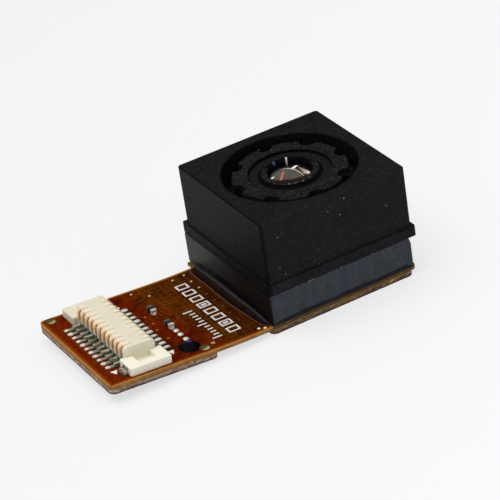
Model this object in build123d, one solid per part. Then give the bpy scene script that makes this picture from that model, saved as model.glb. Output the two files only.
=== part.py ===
from build123d import *
import math
import os

# Camera module on a flexible board: a square lens head at one end, a 22-way plug at the other.
# Head frame while modelling: lens axis at x = y = 0, +X away from the plug, +Z up,
# z = 0 under the head's stiffener. The whole model is moved to its reference point at the end.
# All sizes in millimetres.

# board layers
STIFFENER_T = 0.30
ADHESIVE_T = 0.05
COVERLAY_T = 0.03
CORE_T = 0.14

# lens barrel, turned for focus by eight rounded notches; its rim sets the size of the whole head
RIM_R = 3.33
RIM_T = 0.72
RIM_EDGE_R = 0.04
BARREL_DROP = 0.23
BARREL_STEP = 0.36
BARREL_SKIRT = 0.53
BARREL_CLEARANCE = 0.03
NOTCH_COUNT = 8
NOTCH_R = 0.52
NOTCH_CENTRE_OUT = 0.07
NOTCH_PHASE = 41.0
FACE_RING_WIDTH = 0.93
FACE_RECESS_DEPTH = 0.20
FACE_RECESS_WIDTH = 0.55
BOSS_TAPER = 0.18
BOSS_LAND = 0.36
APERTURE_TAPER = 0.19
LIP_T = 0.30
LIP_STRAIGHT = 0.05
BARREL_WALL_FRONT = 0.92
BARREL_WALL_MIDDLE = 0.72
BARREL_WALL_BACK = 0.52
LENS_CLEARANCE = 0.02

# lens stack, front to back
LENS_1_FLANGE_T = 0.55
LENS_1_DOME = 0.19
LENS_1_HOLLOW = 0.08
LENS_2_FLANGE_T = 0.60
LENS_2_SEAT = 1.00
LENS_2_HOLLOW_FRONT = 0.12
LENS_2_BULGE_BACK = 0.12
LENS_3_FLANGE_T = 0.70
LENS_3_SEAT = 0.75
LENS_3_BULGE_FRONT = 0.10
LENS_3_HOLLOW_BACK = 0.14
SPACER_1_T = 0.22
SPACER_1_SEAT = 1.10
SPACER_2_T = 0.30
SPACER_RELIEF = 0.05
RETAINER_T = 0.30
RETAINER_SEAT = 0.60

# upper housing that carries the lens
HOUSING_BOND = 0.03
HOUSING_HEIGHT = 4.42
HOUSING_WALL = 0.68
HOUSING_CORNER_R = 0.20
HOUSING_EDGE_R = 0.06
FLANGE_HEIGHT = 0.61
FLANGE_OUT_NEAR = 0.12
FLANGE_OUT_FAR = 0.35
FLANGE_OUT_TAIL = 0.13
FLANGE_OUT_END = 0.20
FLANGE_CORNER_R = 0.16
RIM_GAP = 0.61
OPENING_WALL = 0.765
OPENING_DEPTH = 1.50
OPENING_CHAMFER = 0.05
CAVITY_HEIGHT = 0.75
CORNER_POCKET_ROOF = 0.95
SLEEVE_WALL = 0.32

# lower frame round the image sensor, its faces set in or out from the housing's
FRAME_BOND = 0.03
FRAME_HEIGHT = 1.82
FRAME_WALL = 0.62
FRAME_OUT_TAIL = 0.195
FRAME_IN_END = 0.205
FRAME_OUT_NEAR = 0.08
FRAME_OUT_FAR = 0.155
FRAME_CORNER_R = 0.08
FRAME_BEVEL_IN = 0.14
FRAME_BEVEL_DOWN = 0.42
SHELF_T = 0.55

# infrared filter, by the room that the frame leaves beside it
FILTER_MARGIN_X = 0.83
FILTER_MARGIN_Y = 1.415
FILTER_T = 0.26
FILTER_GLUE_T = 0.02
FILTER_SEAT_WIDTH = 0.75
FILTER_POCKET_CLEARANCE = 0.05

# image sensor under the lens, by the room that the frame leaves beside it
DIE_MARGIN_X = 1.28
DIE_MARGIN_Y = 1.815
DIE_T = 0.32
DIE_BOND = 0.03
ACTIVE_MARGIN_X = 0.80
ACTIVE_MARGIN_Y = 1.00
ACTIVE_T = 0.03
WIRE_COUNT = 11
WIRE_ROW_MARGIN = 0.60
WIRE_R = 0.03
WIRE_LOOP = 0.20
WIRE_REACH = 0.75
WIRE_PAD_LENGTH = 0.34
WIRE_PAD_WIDTH = 0.16
WIRE_PAD_T = 0.03
WIRE_END_INSET = 0.12

# small ceramic parts, the same size inside the frame and on the tail
CHIP_LENGTH = 0.66
CHIP_WIDTH = 0.32
CHIP_HEIGHT = 0.24
CHIP_TERMINAL = 0.18
CHIP_STANDOFF = 0.03
INNER_CHIP_GAP = 0.25
INNER_CHIP_Y = (-1.30, 1.30)

# dot of glue that locks the focus
LOCK_NOTCH = 6
LOCK_SPAN = 5.0
LOCK_DROP = 0.14

# head board, by how far it stands out from the frame's faces or in from them
BOARD_OUT_NEAR = 0.065
BOARD_IN_FAR = 0.21
BOARD_OUT_TAIL = 0.22
BOARD_OUT_END = 0.16
BOARD_CORNER_R = 0.35
STEP_ROOT_R = 0.25
HEAD_STIFFENER_INSET_TAIL = 0.10
HEAD_STIFFENER_INSET_END = 0.22
STIFFENER_CORNER_R = 0.40

# tail: a free length that bends, then the stiffened part under the chips and the plug
FREE_LENGTH = 3.36
TAIL_RISE = 4.12
CHIP_ZONE_LENGTH = 2.07
PLUG_SIDE_MARGIN = 0.23
PLUG_TIP_MARGIN = 0.67

# glue at the foot of the frame
BEAD_HEIGHT = 0.72
BEAD_OUT = 0.34
BEAD_HOLLOW = 0.06
APRON_OUT = 0.52
APRON_T = 0.03
BEAD_NEAR_INSET = 0.34
BEAD_FAR_INSET = 0.12
SIDE_GLUE_HEIGHT = 0.24
SIDE_GLUE_MARGIN = 0.01

# plug: a bar with contacts over both long edges and a block at each end
CONTACT_COUNT = 11
CONTACT_PITCH = 0.50
BAR_HALF_WIDTH = 0.98
BAR_HEIGHT = 1.10
BAR_EDGE_R = 0.32
BAR_END_MARGIN = 0.36
BAR_END_R = 0.10
END_BLOCK_REACH = 1.32
END_BLOCK_OUT = 0.30
END_BLOCK_HEIGHT = 0.50
END_BLOCK_R = 0.10
END_BLOCK_EDGE_R = 0.05
END_GAP = 0.18
POCKET_SIDE_WALL = 0.74
POCKET_END_WALL = 0.46
POCKET_FLOOR = 0.16
PLUG_LIFT = 0.03
RIB_FOOT_GAP = 0.24
RIB_FOOT_DEPTH = 0.16
CONTACT_WIDTH = 0.22
CONTACT_T = 0.12
CONTACT_PROUD = 0.03
CONTACT_TIP = 0.24
LEAD_LENGTH = 0.46
PAD_LENGTH = 1.16
PAD_WIDTH = 0.26
PAD_T = 0.03
TAB_LENGTH = 0.66
TAB_OUT = 0.26
TAB_T = 0.12
TAB_FOOT = 0.22
TAB_FROM_END = 0.32

# small parts on the tail's stiffened end: distance from where the bend ends, then from the tail's middle
CHIP_PLACES = ((1.08, 1.46), (1.04, -0.55))
BARE_PAD_BACK = 0.98
BARE_PAD_SIDE = (-1.24, -1.74, -2.36)
BARE_PAD_SIZE = 0.30
BARE_PAD_T = 0.05
BARE_PAD_CORNER_R = 0.08
BARE_PAD_EDGE_R = 0.02
INK_BACK = 1.24
INK_SIDE = -3.24
INK_R = 0.60
INK_HEIGHT = 0.08
INK_EDGE_R = 0.06
FIDUCIAL_R = 0.37
FIDUCIAL_T = 0.02
FIDUCIAL_TIP_INSET = 0.60
FIDUCIAL_FAR_INSET = 0.43
FIDUCIAL_NEAR_INSET = 0.53
FIDUCIAL_BACK = 0.60
PLUG_END_VIAS = ((0.32, 3.14), (1.08, 3.94), (0.20, 0.00))

# test pads by the near edge: one where the bend ends, two by their distance from where it starts
TEST_PAD_T = 0.02
PLUG_END_PAD_INSET = 0.73
PLUG_END_PAD_R = 0.13
HEAD_END_PADS = ((0.60, 0.41), (0.30, 0.23))
HEAD_END_PAD_R = 0.09

# plated holes near the head: distance from where the bend starts, then from the far edge
VIA_ROW_BACK = 0.97
VIA_ROW_FAR_INSET = 0.45
VIA_PITCH = 0.90
VIA_COUNT = 8
HEAD_END_VIA_BACK = 1.76
HEAD_END_VIA_FAR_INSET = 0.53
VIA_R = 0.07
VIA_T = 0.02

# white print
MARK_T = 0.02
MARK_STROKE = 0.10
MARK_GAP = 0.10
BOX_ROW_BACK = 1.70
BOX_ROW_FIRST_SIDE = 2.84
BOX_ROW_PITCH = 0.84
BOX_ROW_COUNT = 8
BOX_HEIGHT = 0.74
BOX_WIDTH = 0.56
BOX_FILLED = (3, 6)
TICK_ROW_BACK = 2.85
TICK_ROW_FIRST_SIDE = 0.14
TICK_PITCH = 0.34
TICK_COUNT = 11
TICK_LONG = 0.60
TICK_SHORT = 0.34
TICK_LONG_EVERY = 5
PIN_MARK_SIZE = 0.42
PIN_MARK_GAP = 0.30

# radii that follow from the rim
OPENING_R = RIM_R + RIM_GAP
BARREL_R = RIM_R - BARREL_STEP
NOTCH_CENTRE_R = RIM_R + NOTCH_CENTRE_OUT
FACE_RECESS_R = RIM_R - FACE_RING_WIDTH
BOSS_FOOT_R = FACE_RECESS_R - FACE_RECESS_WIDTH
BOSS_TOP_R = BOSS_FOOT_R - BOSS_TAPER
APERTURE_TOP_R = BOSS_TOP_R - BOSS_LAND
APERTURE_R = APERTURE_TOP_R - APERTURE_TAPER
BORE_FRONT_R = BARREL_R - BARREL_WALL_FRONT
BORE_MIDDLE_R = BARREL_R - BARREL_WALL_MIDDLE
BORE_BACK_R = BARREL_R - BARREL_WALL_BACK
SPACER_1_HOLE_R = BORE_FRONT_R - SPACER_1_SEAT
LENS_2_OPTIC_R = BORE_MIDDLE_R - LENS_2_SEAT
LENS_3_OPTIC_R = BORE_BACK_R - LENS_3_SEAT
RETAINER_HOLE_R = BORE_BACK_R - RETAINER_SEAT

# the head in plan, from the opening outwards
HOUSING_SIDE = 2 * (OPENING_R + OPENING_WALL)
FRAME_FACE_TAIL_X = -HOUSING_SIDE / 2 - FRAME_OUT_TAIL
FRAME_FACE_END_X = HOUSING_SIDE / 2 - FRAME_IN_END
FRAME_FACE_NEAR_Y = -HOUSING_SIDE / 2 - FRAME_OUT_NEAR
FRAME_FACE_FAR_Y = HOUSING_SIDE / 2 + FRAME_OUT_FAR
ROOM_HALF_X = min(-FRAME_FACE_TAIL_X, FRAME_FACE_END_X) - FRAME_WALL
ROOM_HALF_Y = min(-FRAME_FACE_NEAR_Y, FRAME_FACE_FAR_Y) - FRAME_WALL
FILTER_LENGTH = 2 * (ROOM_HALF_X - FILTER_MARGIN_X)
FILTER_WIDTH = 2 * (ROOM_HALF_Y - FILTER_MARGIN_Y)
WINDOW_LENGTH = FILTER_LENGTH - 2 * FILTER_SEAT_WIDTH
WINDOW_WIDTH = FILTER_WIDTH - 2 * FILTER_SEAT_WIDTH
DIE_LENGTH = 2 * (ROOM_HALF_X - DIE_MARGIN_X)
DIE_WIDTH = 2 * (ROOM_HALF_Y - DIE_MARGIN_Y)
ACTIVE_LENGTH = DIE_LENGTH - 2 * ACTIVE_MARGIN_X
ACTIVE_WIDTH = DIE_WIDTH - 2 * ACTIVE_MARGIN_Y
WIRE_PITCH = (DIE_LENGTH - 2 * WIRE_ROW_MARGIN) / (WIRE_COUNT - 1)
INNER_CHIP_X = ROOM_HALF_X - INNER_CHIP_GAP - CHIP_WIDTH / 2
BOARD_NEAR_Y = FRAME_FACE_NEAR_Y - BOARD_OUT_NEAR
HEAD_BOARD_FAR_Y = FRAME_FACE_FAR_Y - BOARD_IN_FAR
HEAD_BOARD_X0 = FRAME_FACE_TAIL_X - BOARD_OUT_TAIL
HEAD_BOARD_END_X = FRAME_FACE_END_X + BOARD_OUT_END

# the plug and the tail in plan
BAR_LENGTH = (CONTACT_COUNT - 1) * CONTACT_PITCH + 2 * BAR_END_MARGIN
PLUG_LENGTH = BAR_LENGTH + 2 * END_BLOCK_REACH
CONTACT_FACE = BAR_HALF_WIDTH + CONTACT_PROUD
PAD_REACH = BAR_HALF_WIDTH - CONTACT_T + PAD_LENGTH
END_BLOCK_HALF_WIDTH = BAR_HALF_WIDTH + END_BLOCK_OUT
TAIL_STIFFENER_LENGTH = PLUG_TIP_MARGIN + 2 * PAD_REACH + CHIP_ZONE_LENGTH
TAIL_WIDTH = PLUG_LENGTH + 2 * PLUG_SIDE_MARGIN
TAIL_MID_Y = BOARD_NEAR_Y + TAIL_WIDTH / 2
TAIL_FAR_Y = BOARD_NEAR_Y + TAIL_WIDTH
BEND_START_X = HEAD_BOARD_X0 + HEAD_STIFFENER_INSET_TAIL
BEND_END_X = BEND_START_X - FREE_LENGTH
TAIL_TIP_X = BEND_END_X - TAIL_STIFFENER_LENGTH
PLUG_X = TAIL_TIP_X + PLUG_TIP_MARGIN + PAD_REACH
BEND_ANGLE = math.radians(TAIL_RISE)
BEND_R = FREE_LENGTH / BEND_ANGLE

# heights that follow from the sizes above
FLEX_BOTTOM = STIFFENER_T + ADHESIVE_T
FLEX_T = CORE_T + 2 * COVERLAY_T
BOARD_TOP = FLEX_BOTTOM + FLEX_T
FRAME_BASE = BOARD_TOP + FRAME_BOND
FRAME_TOP = FRAME_BASE + FRAME_HEIGHT
HOUSING_BASE = FRAME_TOP + HOUSING_BOND
HOUSING_TOP = HOUSING_BASE + HOUSING_HEIGHT
FLANGE_TOP = HOUSING_BASE + FLANGE_HEIGHT
OPENING_FLOOR = HOUSING_TOP - OPENING_DEPTH
RIM_FACE = HOUSING_TOP - BARREL_DROP
RIM_BACK = RIM_FACE - RIM_T
LIP_BACK = RIM_FACE - LIP_T
LENS_1_BACK = LIP_BACK - LENS_1_FLANGE_T
SPACER_1_BACK = LENS_1_BACK - SPACER_1_T
LENS_2_BACK = SPACER_1_BACK - LENS_2_FLANGE_T
SPACER_2_BACK = LENS_2_BACK - SPACER_2_T
LENS_3_BACK = SPACER_2_BACK - LENS_3_FLANGE_T
RETAINER_BACK = LENS_3_BACK - RETAINER_T
BARREL_BACK = RETAINER_BACK - BARREL_SKIRT
SHELF_BASE = FRAME_TOP - SHELF_T
FILTER_BASE = FRAME_TOP - FILTER_T
FILTER_SEAT = FILTER_BASE - FILTER_GLUE_T
DIE_BASE = BOARD_TOP + DIE_BOND
DIE_TOP = DIE_BASE + DIE_T

# two places in plan this close together are one
SAME_PLACE = 0.001


def flex_point(x, h):
    """World x and z of a place on the bent board: x along the flat board, h above its top face."""
    run = min(max(BEND_START_X - x, 0.0), FREE_LENGTH)
    turn = run / BEND_R
    rest = (BEND_START_X - x) - run
    along = BEND_START_X - BEND_R * math.sin(turn) - rest * math.cos(turn)
    up = BOARD_TOP + BEND_R * (1 - math.cos(turn)) + rest * math.sin(turn)
    return along + h * math.sin(turn), up + h * math.cos(turn)


def on_flex(x, y):
    """Location on the board's top face, tilted with the board there."""
    run = min(max(BEND_START_X - x, 0.0), FREE_LENGTH)
    px, pz = flex_point(x, 0.0)
    return Location((px, y, pz), (0, math.degrees(run / BEND_R), 0))


def tail_frame():
    """Location that carries flat tail coordinates (x, y, height over the board) to the raised tail."""
    return on_flex(BEND_END_X, 0.0) * Location((-BEND_END_X, 0, 0))


def slab(x0, x1, y0, y1, z0, z1, corner_r=0.0):
    """Box between corners, its upright edges rounded."""
    box = Pos((x0 + x1) / 2, (y0 + y1) / 2, (z0 + z1) / 2) * Box(x1 - x0, y1 - y0, z1 - z0)
    if corner_r > 0:
        box = fillet(box.edges().filter_by(Axis.Z), corner_r)
    return box


def centred_slab(cx, cy, length, width, z0, z1, corner_r=0.0):
    """Box by its centre, length along X and width along Y."""
    return slab(cx - length / 2, cx + length / 2, cy - width / 2, cy + width / 2, z0, z1, corner_r)


def ring(outer_r, inner_r, z0, z1):
    """Flat ring about the lens axis."""
    height = z1 - z0
    middle = (z0 + z1) / 2
    return Pos(0, 0, middle) * Cylinder(outer_r, height) - Pos(0, 0, middle) * Cylinder(inner_r, 2 * height)


def turned(points):
    """Solid of revolution about the lens axis from (radius, z) corners."""
    profile = Polyline([(r, 0, z) for r, z in points], close=True)
    return revolve(make_face(profile), Axis.Z, 360)


def prism(corners, height):
    """Upright prism on the plane z = 0 from its corners in plan."""
    return extrude(make_face(Polyline(corners, close=True)), amount=height)


def closed_face(edges):
    """Face inside a closed chain of edges."""
    return make_face(Wire(edges))


def bent_layer(h0, h1):
    """One layer of the board between two heights over its top face, cut to the board's outline."""
    def chain(h):
        head = flex_point(HEAD_BOARD_END_X, h)
        start = flex_point(BEND_START_X, h)
        middle = flex_point(BEND_START_X - FREE_LENGTH / 2, h)
        end = flex_point(BEND_END_X, h)
        tip = flex_point(TAIL_TIP_X, h)
        return [(p[0], BOARD_NEAR_Y, p[1]) for p in (head, start, middle, end, tip)]
    low = chain(h0)
    high = chain(h1)
    section = closed_face([
        Line(low[0], low[1]),
        ThreePointArc(low[1], low[2], low[3]),
        Line(low[3], low[4]),
        Line(low[4], high[4]),
        Line(high[4], high[3]),
        ThreePointArc(high[3], high[2], high[1]),
        Line(high[1], high[0]),
        Line(high[0], low[0]),
    ])
    width = max(HEAD_BOARD_FAR_Y, TAIL_FAR_Y) - BOARD_NEAR_Y
    return extrude(section, amount=width, dir=(0, 1, 0)) & board_outline()


def board_outline():
    """Upright prism of the board's plan: head and tail of two widths, their near edges in line."""
    tip_x = flex_point(TAIL_TIP_X, 0.0)[0]
    reach = HOUSING_TOP
    head = slab(HEAD_BOARD_X0, HEAD_BOARD_END_X, BOARD_NEAR_Y, HEAD_BOARD_FAR_Y, -reach, reach)
    tail = slab(tip_x, HEAD_BOARD_X0, BOARD_NEAR_Y, TAIL_FAR_Y, -reach, reach)
    plan = (head + tail).clean()
    step = abs(HEAD_BOARD_FAR_Y - TAIL_FAR_Y)
    plan = rounded(plan, [(HEAD_BOARD_X0, min(HEAD_BOARD_FAR_Y, TAIL_FAR_Y))], min(STEP_ROOT_R, step / 2))
    corners = [
        (tip_x, BOARD_NEAR_Y),
        (tip_x, TAIL_FAR_Y),
        (HEAD_BOARD_END_X, BOARD_NEAR_Y),
        (HEAD_BOARD_END_X, HEAD_BOARD_FAR_Y),
    ]
    return rounded(plan, corners, BOARD_CORNER_R)


def rounded(solid, places, radius):
    """The solid with its upright edges rounded at the given places in plan, where it has edges there."""
    def stands_there(edge):
        middle = edge.center()
        return any(math.hypot(middle.X - x, middle.Y - y) < SAME_PLACE for x, y in places)
    edges = solid.edges().filter_by(Axis.Z).filter_by(stands_there)
    return fillet(edges, radius) if edges else solid


def flex_core():
    return bent_layer(-FLEX_T + COVERLAY_T, -COVERLAY_T)


def coverlay_top():
    return bent_layer(-COVERLAY_T, 0.0)


def coverlay_bottom():
    return bent_layer(-FLEX_T, -FLEX_T + COVERLAY_T)


def head_plate(z0, z1):
    """Plate under the head, a little shorter than the film over it."""
    x1 = HEAD_BOARD_END_X - HEAD_STIFFENER_INSET_END
    return slab(BEND_START_X, x1, BOARD_NEAR_Y, HEAD_BOARD_FAR_Y, z0, z1, STIFFENER_CORNER_R)


def head_stiffener():
    return head_plate(0.0, STIFFENER_T)


def head_stiffener_adhesive():
    return head_plate(STIFFENER_T, FLEX_BOTTOM)


def tail_plate(h0, h1):
    """Plate under the plug, in line with the film's edges, raised with the tail."""
    plate = slab(TAIL_TIP_X, BEND_END_X, BOARD_NEAR_Y, TAIL_FAR_Y, h0, h1, STIFFENER_CORNER_R)
    return tail_frame() * plate


def plug_stiffener():
    return tail_plate(-FLEX_T - ADHESIVE_T - STIFFENER_T, -FLEX_T - ADHESIVE_T)


def plug_stiffener_adhesive():
    return tail_plate(-FLEX_T - ADHESIVE_T, -FLEX_T)


def frame_block(inset, z0, z1, corner_r=0.0):
    """Block on the frame's plan, its sides set in by the inset."""
    x0 = FRAME_FACE_TAIL_X + inset
    x1 = FRAME_FACE_END_X - inset
    return slab(x0, x1, FRAME_FACE_NEAR_Y + inset, FRAME_FACE_FAR_Y - inset, z0, z1, corner_r)


def frame_adhesive():
    """Thin line of glue under the frame's walls."""
    line = frame_block(0, BOARD_TOP, FRAME_BASE, FRAME_CORNER_R)
    return line - frame_block(FRAME_WALL, BOARD_TOP, FRAME_BASE)


def lower_frame():
    """Box wall round the sensor with a shelf for the filter, its end face bevelled at the top."""
    body = frame_block(0, FRAME_BASE, FRAME_TOP, FRAME_CORNER_R)
    room = frame_block(FRAME_WALL, FRAME_BASE, SHELF_BASE)
    window = centred_slab(0, 0, WINDOW_LENGTH, WINDOW_WIDTH, SHELF_BASE, FRAME_TOP)
    pocket_length = FILTER_LENGTH + 2 * FILTER_POCKET_CLEARANCE
    pocket_width = FILTER_WIDTH + 2 * FILTER_POCKET_CLEARANCE
    pocket = centred_slab(0, 0, pocket_length, pocket_width, FILTER_SEAT, FRAME_TOP)
    end_x = FRAME_FACE_END_X
    y0 = FRAME_FACE_NEAR_Y
    bevel = extrude(make_face(Polyline([
        (end_x - FRAME_BEVEL_IN, y0, FRAME_TOP),
        (end_x, y0, FRAME_TOP - FRAME_BEVEL_DOWN),
        (end_x, y0, FRAME_TOP),
    ], close=True)), amount=FRAME_FACE_FAR_Y - y0, dir=(0, 1, 0))
    return body - room - window - pocket - bevel


def filter_adhesive():
    """Line of glue between the filter and its shelf."""
    plate = centred_slab(0, 0, FILTER_LENGTH, FILTER_WIDTH, FILTER_SEAT, FILTER_BASE)
    return plate - centred_slab(0, 0, WINDOW_LENGTH, WINDOW_WIDTH, FILTER_SEAT, FILTER_BASE)


def infrared_filter():
    return centred_slab(0, 0, FILTER_LENGTH, FILTER_WIDTH, FILTER_BASE, FRAME_TOP)


def die_attach_film():
    return centred_slab(0, 0, DIE_LENGTH, DIE_WIDTH, BOARD_TOP, DIE_BASE)


def image_sensor_die():
    return centred_slab(0, 0, DIE_LENGTH, DIE_WIDTH, DIE_BASE, DIE_TOP)


def colour_filter_array():
    return centred_slab(0, 0, ACTIVE_LENGTH, ACTIVE_WIDTH, DIE_TOP, DIE_TOP + ACTIVE_T)


def wire_places():
    """Place along X of each bond wire."""
    first = -(WIRE_COUNT - 1) / 2 * WIRE_PITCH
    return [first + i * WIRE_PITCH for i in range(WIRE_COUNT)]


def bond_pads():
    """Gold pads on the board, one for each wire, in a row on both long sides of the die."""
    middle = DIE_WIDTH / 2 + WIRE_REACH - WIRE_END_INSET
    return [
        centred_slab(x, side * middle, WIRE_PAD_WIDTH, WIRE_PAD_LENGTH, BOARD_TOP, BOARD_TOP + WIRE_PAD_T)
        for side in (-1, 1) for x in wire_places()
    ]


def bond_wire(x, side):
    """Gold wire: up off the die, over, and down to its pad."""
    inner = DIE_WIDTH / 2 - WIRE_END_INSET
    outer = DIE_WIDTH / 2 + WIRE_REACH - WIRE_END_INSET
    crest = DIE_TOP + WIRE_LOOP
    points = [
        (x, side * inner, DIE_TOP),
        (x, side * inner, crest),
        (x, side * outer, crest),
        (x, side * outer, BOARD_TOP + WIRE_PAD_T),
    ]
    path = FilletPolyline(points, radius=WIRE_LOOP / 2)
    return sweep(Plane(points[0], z_dir=(0, 0, 1)) * Circle(WIRE_R), path)


def bond_wires():
    return [bond_wire(x, side) for side in (-1, 1) for x in wire_places()]


def chip_body():
    """Ceramic block between its two metal ends, long side along Y."""
    length = CHIP_LENGTH - 2 * CHIP_TERMINAL
    return centred_slab(0, 0, CHIP_WIDTH, length, CHIP_STANDOFF, CHIP_STANDOFF + CHIP_HEIGHT)


def chip_ends():
    """The two metal ends of one chip, down to the board."""
    middle = (CHIP_LENGTH - CHIP_TERMINAL) / 2
    top = CHIP_STANDOFF + CHIP_HEIGHT
    return [centred_slab(0, side * middle, CHIP_WIDTH, CHIP_TERMINAL, 0, top) for side in (-1, 1)]


def inner_chip_places():
    return [Location((side * INNER_CHIP_X, y, BOARD_TOP)) for side in (-1, 1) for y in INNER_CHIP_Y]


def stiff_place(back, side):
    """Place on the tail's stiffened end, by its distances from the end of the bend and the tail's middle."""
    return on_flex(BEND_END_X - back, TAIL_MID_Y + side)


def tail_chip_places():
    return [stiff_place(back, side) for back, side in CHIP_PLACES]


def chip_bodies(places):
    return [place * chip_body() for place in places]


def chip_terminals(places):
    return [place * end for place in places for end in chip_ends()]


def housing_adhesive():
    """Line of glue between the frame's top and the housing's walls."""
    half = HOUSING_SIDE / 2
    low_x = max(FRAME_FACE_TAIL_X, -half)
    high_x = min(FRAME_FACE_END_X - FRAME_BEVEL_IN, half)
    low_y = max(FRAME_FACE_NEAR_Y, -half)
    high_y = min(FRAME_FACE_FAR_Y, half)
    inner = HOUSING_SIDE - 2 * HOUSING_WALL
    outer = slab(low_x, high_x, low_y, high_y, FRAME_TOP, HOUSING_BASE, FRAME_CORNER_R)
    return outer - centred_slab(0, 0, inner, inner, FRAME_TOP, HOUSING_BASE)


def upper_housing():
    """Square moulded housing: flange at its foot, round opening in its top, bore for the barrel."""
    half = HOUSING_SIDE / 2
    block = slab(-half, half, -half, half, HOUSING_BASE, HOUSING_TOP, HOUSING_CORNER_R)
    block = fillet(block.edges().group_by(Axis.Z)[-1], HOUSING_EDGE_R)
    flange_x = (-half - FLANGE_OUT_TAIL, half + FLANGE_OUT_END)
    flange_y = (-half - FLANGE_OUT_NEAR, half + FLANGE_OUT_FAR)
    flange = slab(*flange_x, *flange_y, HOUSING_BASE, FLANGE_TOP, FLANGE_CORNER_R)
    cavity_side = HOUSING_SIDE - 2 * HOUSING_WALL
    cavity_top = HOUSING_BASE + CAVITY_HEIGHT
    cavity = centred_slab(0, 0, cavity_side, cavity_side, HOUSING_BASE, cavity_top)
    sleeve_r = OPENING_R + SLEEVE_WALL
    pocket_top = HOUSING_TOP - CORNER_POCKET_ROOF
    pockets = centred_slab(0, 0, cavity_side, cavity_side, HOUSING_BASE, pocket_top)
    pockets -= Pos(0, 0, (HOUSING_BASE + pocket_top) / 2) * Cylinder(sleeve_r, pocket_top - HOUSING_BASE)
    opening = Pos(0, 0, HOUSING_TOP - OPENING_DEPTH / 2) * Cylinder(OPENING_R, OPENING_DEPTH)
    bore_r = BARREL_R + BARREL_CLEARANCE
    bore = Pos(0, 0, (HOUSING_BASE + HOUSING_TOP) / 2) * Cylinder(bore_r, HOUSING_HEIGHT)
    flare = turned([
        (0, HOUSING_TOP - OPENING_CHAMFER), (OPENING_R, HOUSING_TOP - OPENING_CHAMFER),
        (OPENING_R + OPENING_CHAMFER, HOUSING_TOP), (0, HOUSING_TOP),
    ])
    return block + flange - cavity - pockets - opening - bore - flare


def barrel_blank():
    """The barrel as turned, before its notches: rim, boss, tapered aperture and stepped bore."""
    floor = RIM_FACE - FACE_RECESS_DEPTH
    return turned([
        (RIM_R, RIM_BACK), (RIM_R, RIM_FACE - RIM_EDGE_R), (RIM_R - RIM_EDGE_R, RIM_FACE),
        (FACE_RECESS_R, RIM_FACE), (FACE_RECESS_R, floor), (BOSS_FOOT_R, floor), (BOSS_TOP_R, RIM_FACE),
        (APERTURE_TOP_R, RIM_FACE), (APERTURE_R, LIP_BACK + LIP_STRAIGHT), (APERTURE_R, LIP_BACK),
        (BORE_FRONT_R, LIP_BACK), (BORE_FRONT_R, SPACER_1_BACK), (BORE_MIDDLE_R, SPACER_1_BACK),
        (BORE_MIDDLE_R, SPACER_2_BACK), (BORE_BACK_R, SPACER_2_BACK), (BORE_BACK_R, BARREL_BACK),
        (BARREL_R, BARREL_BACK), (BARREL_R, RIM_BACK),
    ])


def notch_angle(i):
    """Bearing of one notch in degrees, round the lens axis."""
    return NOTCH_PHASE + i * 360 / NOTCH_COUNT


def lens_barrel():
    """Barrel with its ring of rounded notches."""
    barrel = barrel_blank()
    notch = Pos(NOTCH_CENTRE_R, 0, (RIM_BACK + RIM_FACE) / 2) * Cylinder(NOTCH_R, RIM_T)
    for i in range(NOTCH_COUNT):
        barrel -= Rot(0, 0, notch_angle(i)) * notch
    return barrel


def dome(radius, rise):
    """Cap of a ball standing on the plane z = 0, by the radius of its foot and its height."""
    ball_r = (radius ** 2 + rise ** 2) / (2 * rise)
    ball = Pos(0, 0, rise - ball_r) * Sphere(ball_r)
    return ball & (Pos(0, 0, rise / 2) * Box(4 * radius, 4 * radius, rise))


def lens_disc(front_z, back_z, outer_r):
    """The lens's flat flange, as a full disc between its two seats."""
    return Pos(0, 0, (front_z + back_z) / 2) * Cylinder(outer_r, front_z - back_z)


def facing_down():
    return Rot(180, 0, 0)


def lens_1():
    """Front lens: crowned into the aperture, slightly hollow behind."""
    optic_r = APERTURE_R - LENS_CLEARANCE
    body = lens_disc(LIP_BACK, LENS_1_BACK, BORE_FRONT_R - LENS_CLEARANCE)
    body += Pos(0, 0, LIP_BACK) * dome(optic_r, LENS_1_DOME)
    return body - Pos(0, 0, LENS_1_BACK) * dome(optic_r, LENS_1_HOLLOW)


def lens_2():
    """Middle lens: hollow in front, crowned behind."""
    body = lens_disc(SPACER_1_BACK, LENS_2_BACK, BORE_MIDDLE_R - LENS_CLEARANCE)
    body -= Pos(0, 0, SPACER_1_BACK) * facing_down() * dome(LENS_2_OPTIC_R, LENS_2_HOLLOW_FRONT)
    return body + Pos(0, 0, LENS_2_BACK) * facing_down() * dome(LENS_2_OPTIC_R, LENS_2_BULGE_BACK)


def lens_3():
    """Back lens: crowned in front, hollow behind."""
    body = lens_disc(SPACER_2_BACK, LENS_3_BACK, BORE_BACK_R - LENS_CLEARANCE)
    body += Pos(0, 0, SPACER_2_BACK) * dome(LENS_3_OPTIC_R, LENS_3_BULGE_FRONT)
    return body - Pos(0, 0, LENS_3_BACK) * dome(LENS_3_OPTIC_R, LENS_3_HOLLOW_BACK)


def spacer_1():
    return ring(BORE_FRONT_R - LENS_CLEARANCE, SPACER_1_HOLE_R, SPACER_1_BACK, LENS_1_BACK)


def spacer_2():
    hole_r = max(LENS_2_OPTIC_R, LENS_3_OPTIC_R) + SPACER_RELIEF
    return ring(BORE_MIDDLE_R - LENS_CLEARANCE, hole_r, SPACER_2_BACK, LENS_2_BACK)


def lens_retainer():
    return ring(BORE_BACK_R, RETAINER_HOLE_R, RETAINER_BACK, LENS_3_BACK)


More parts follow.
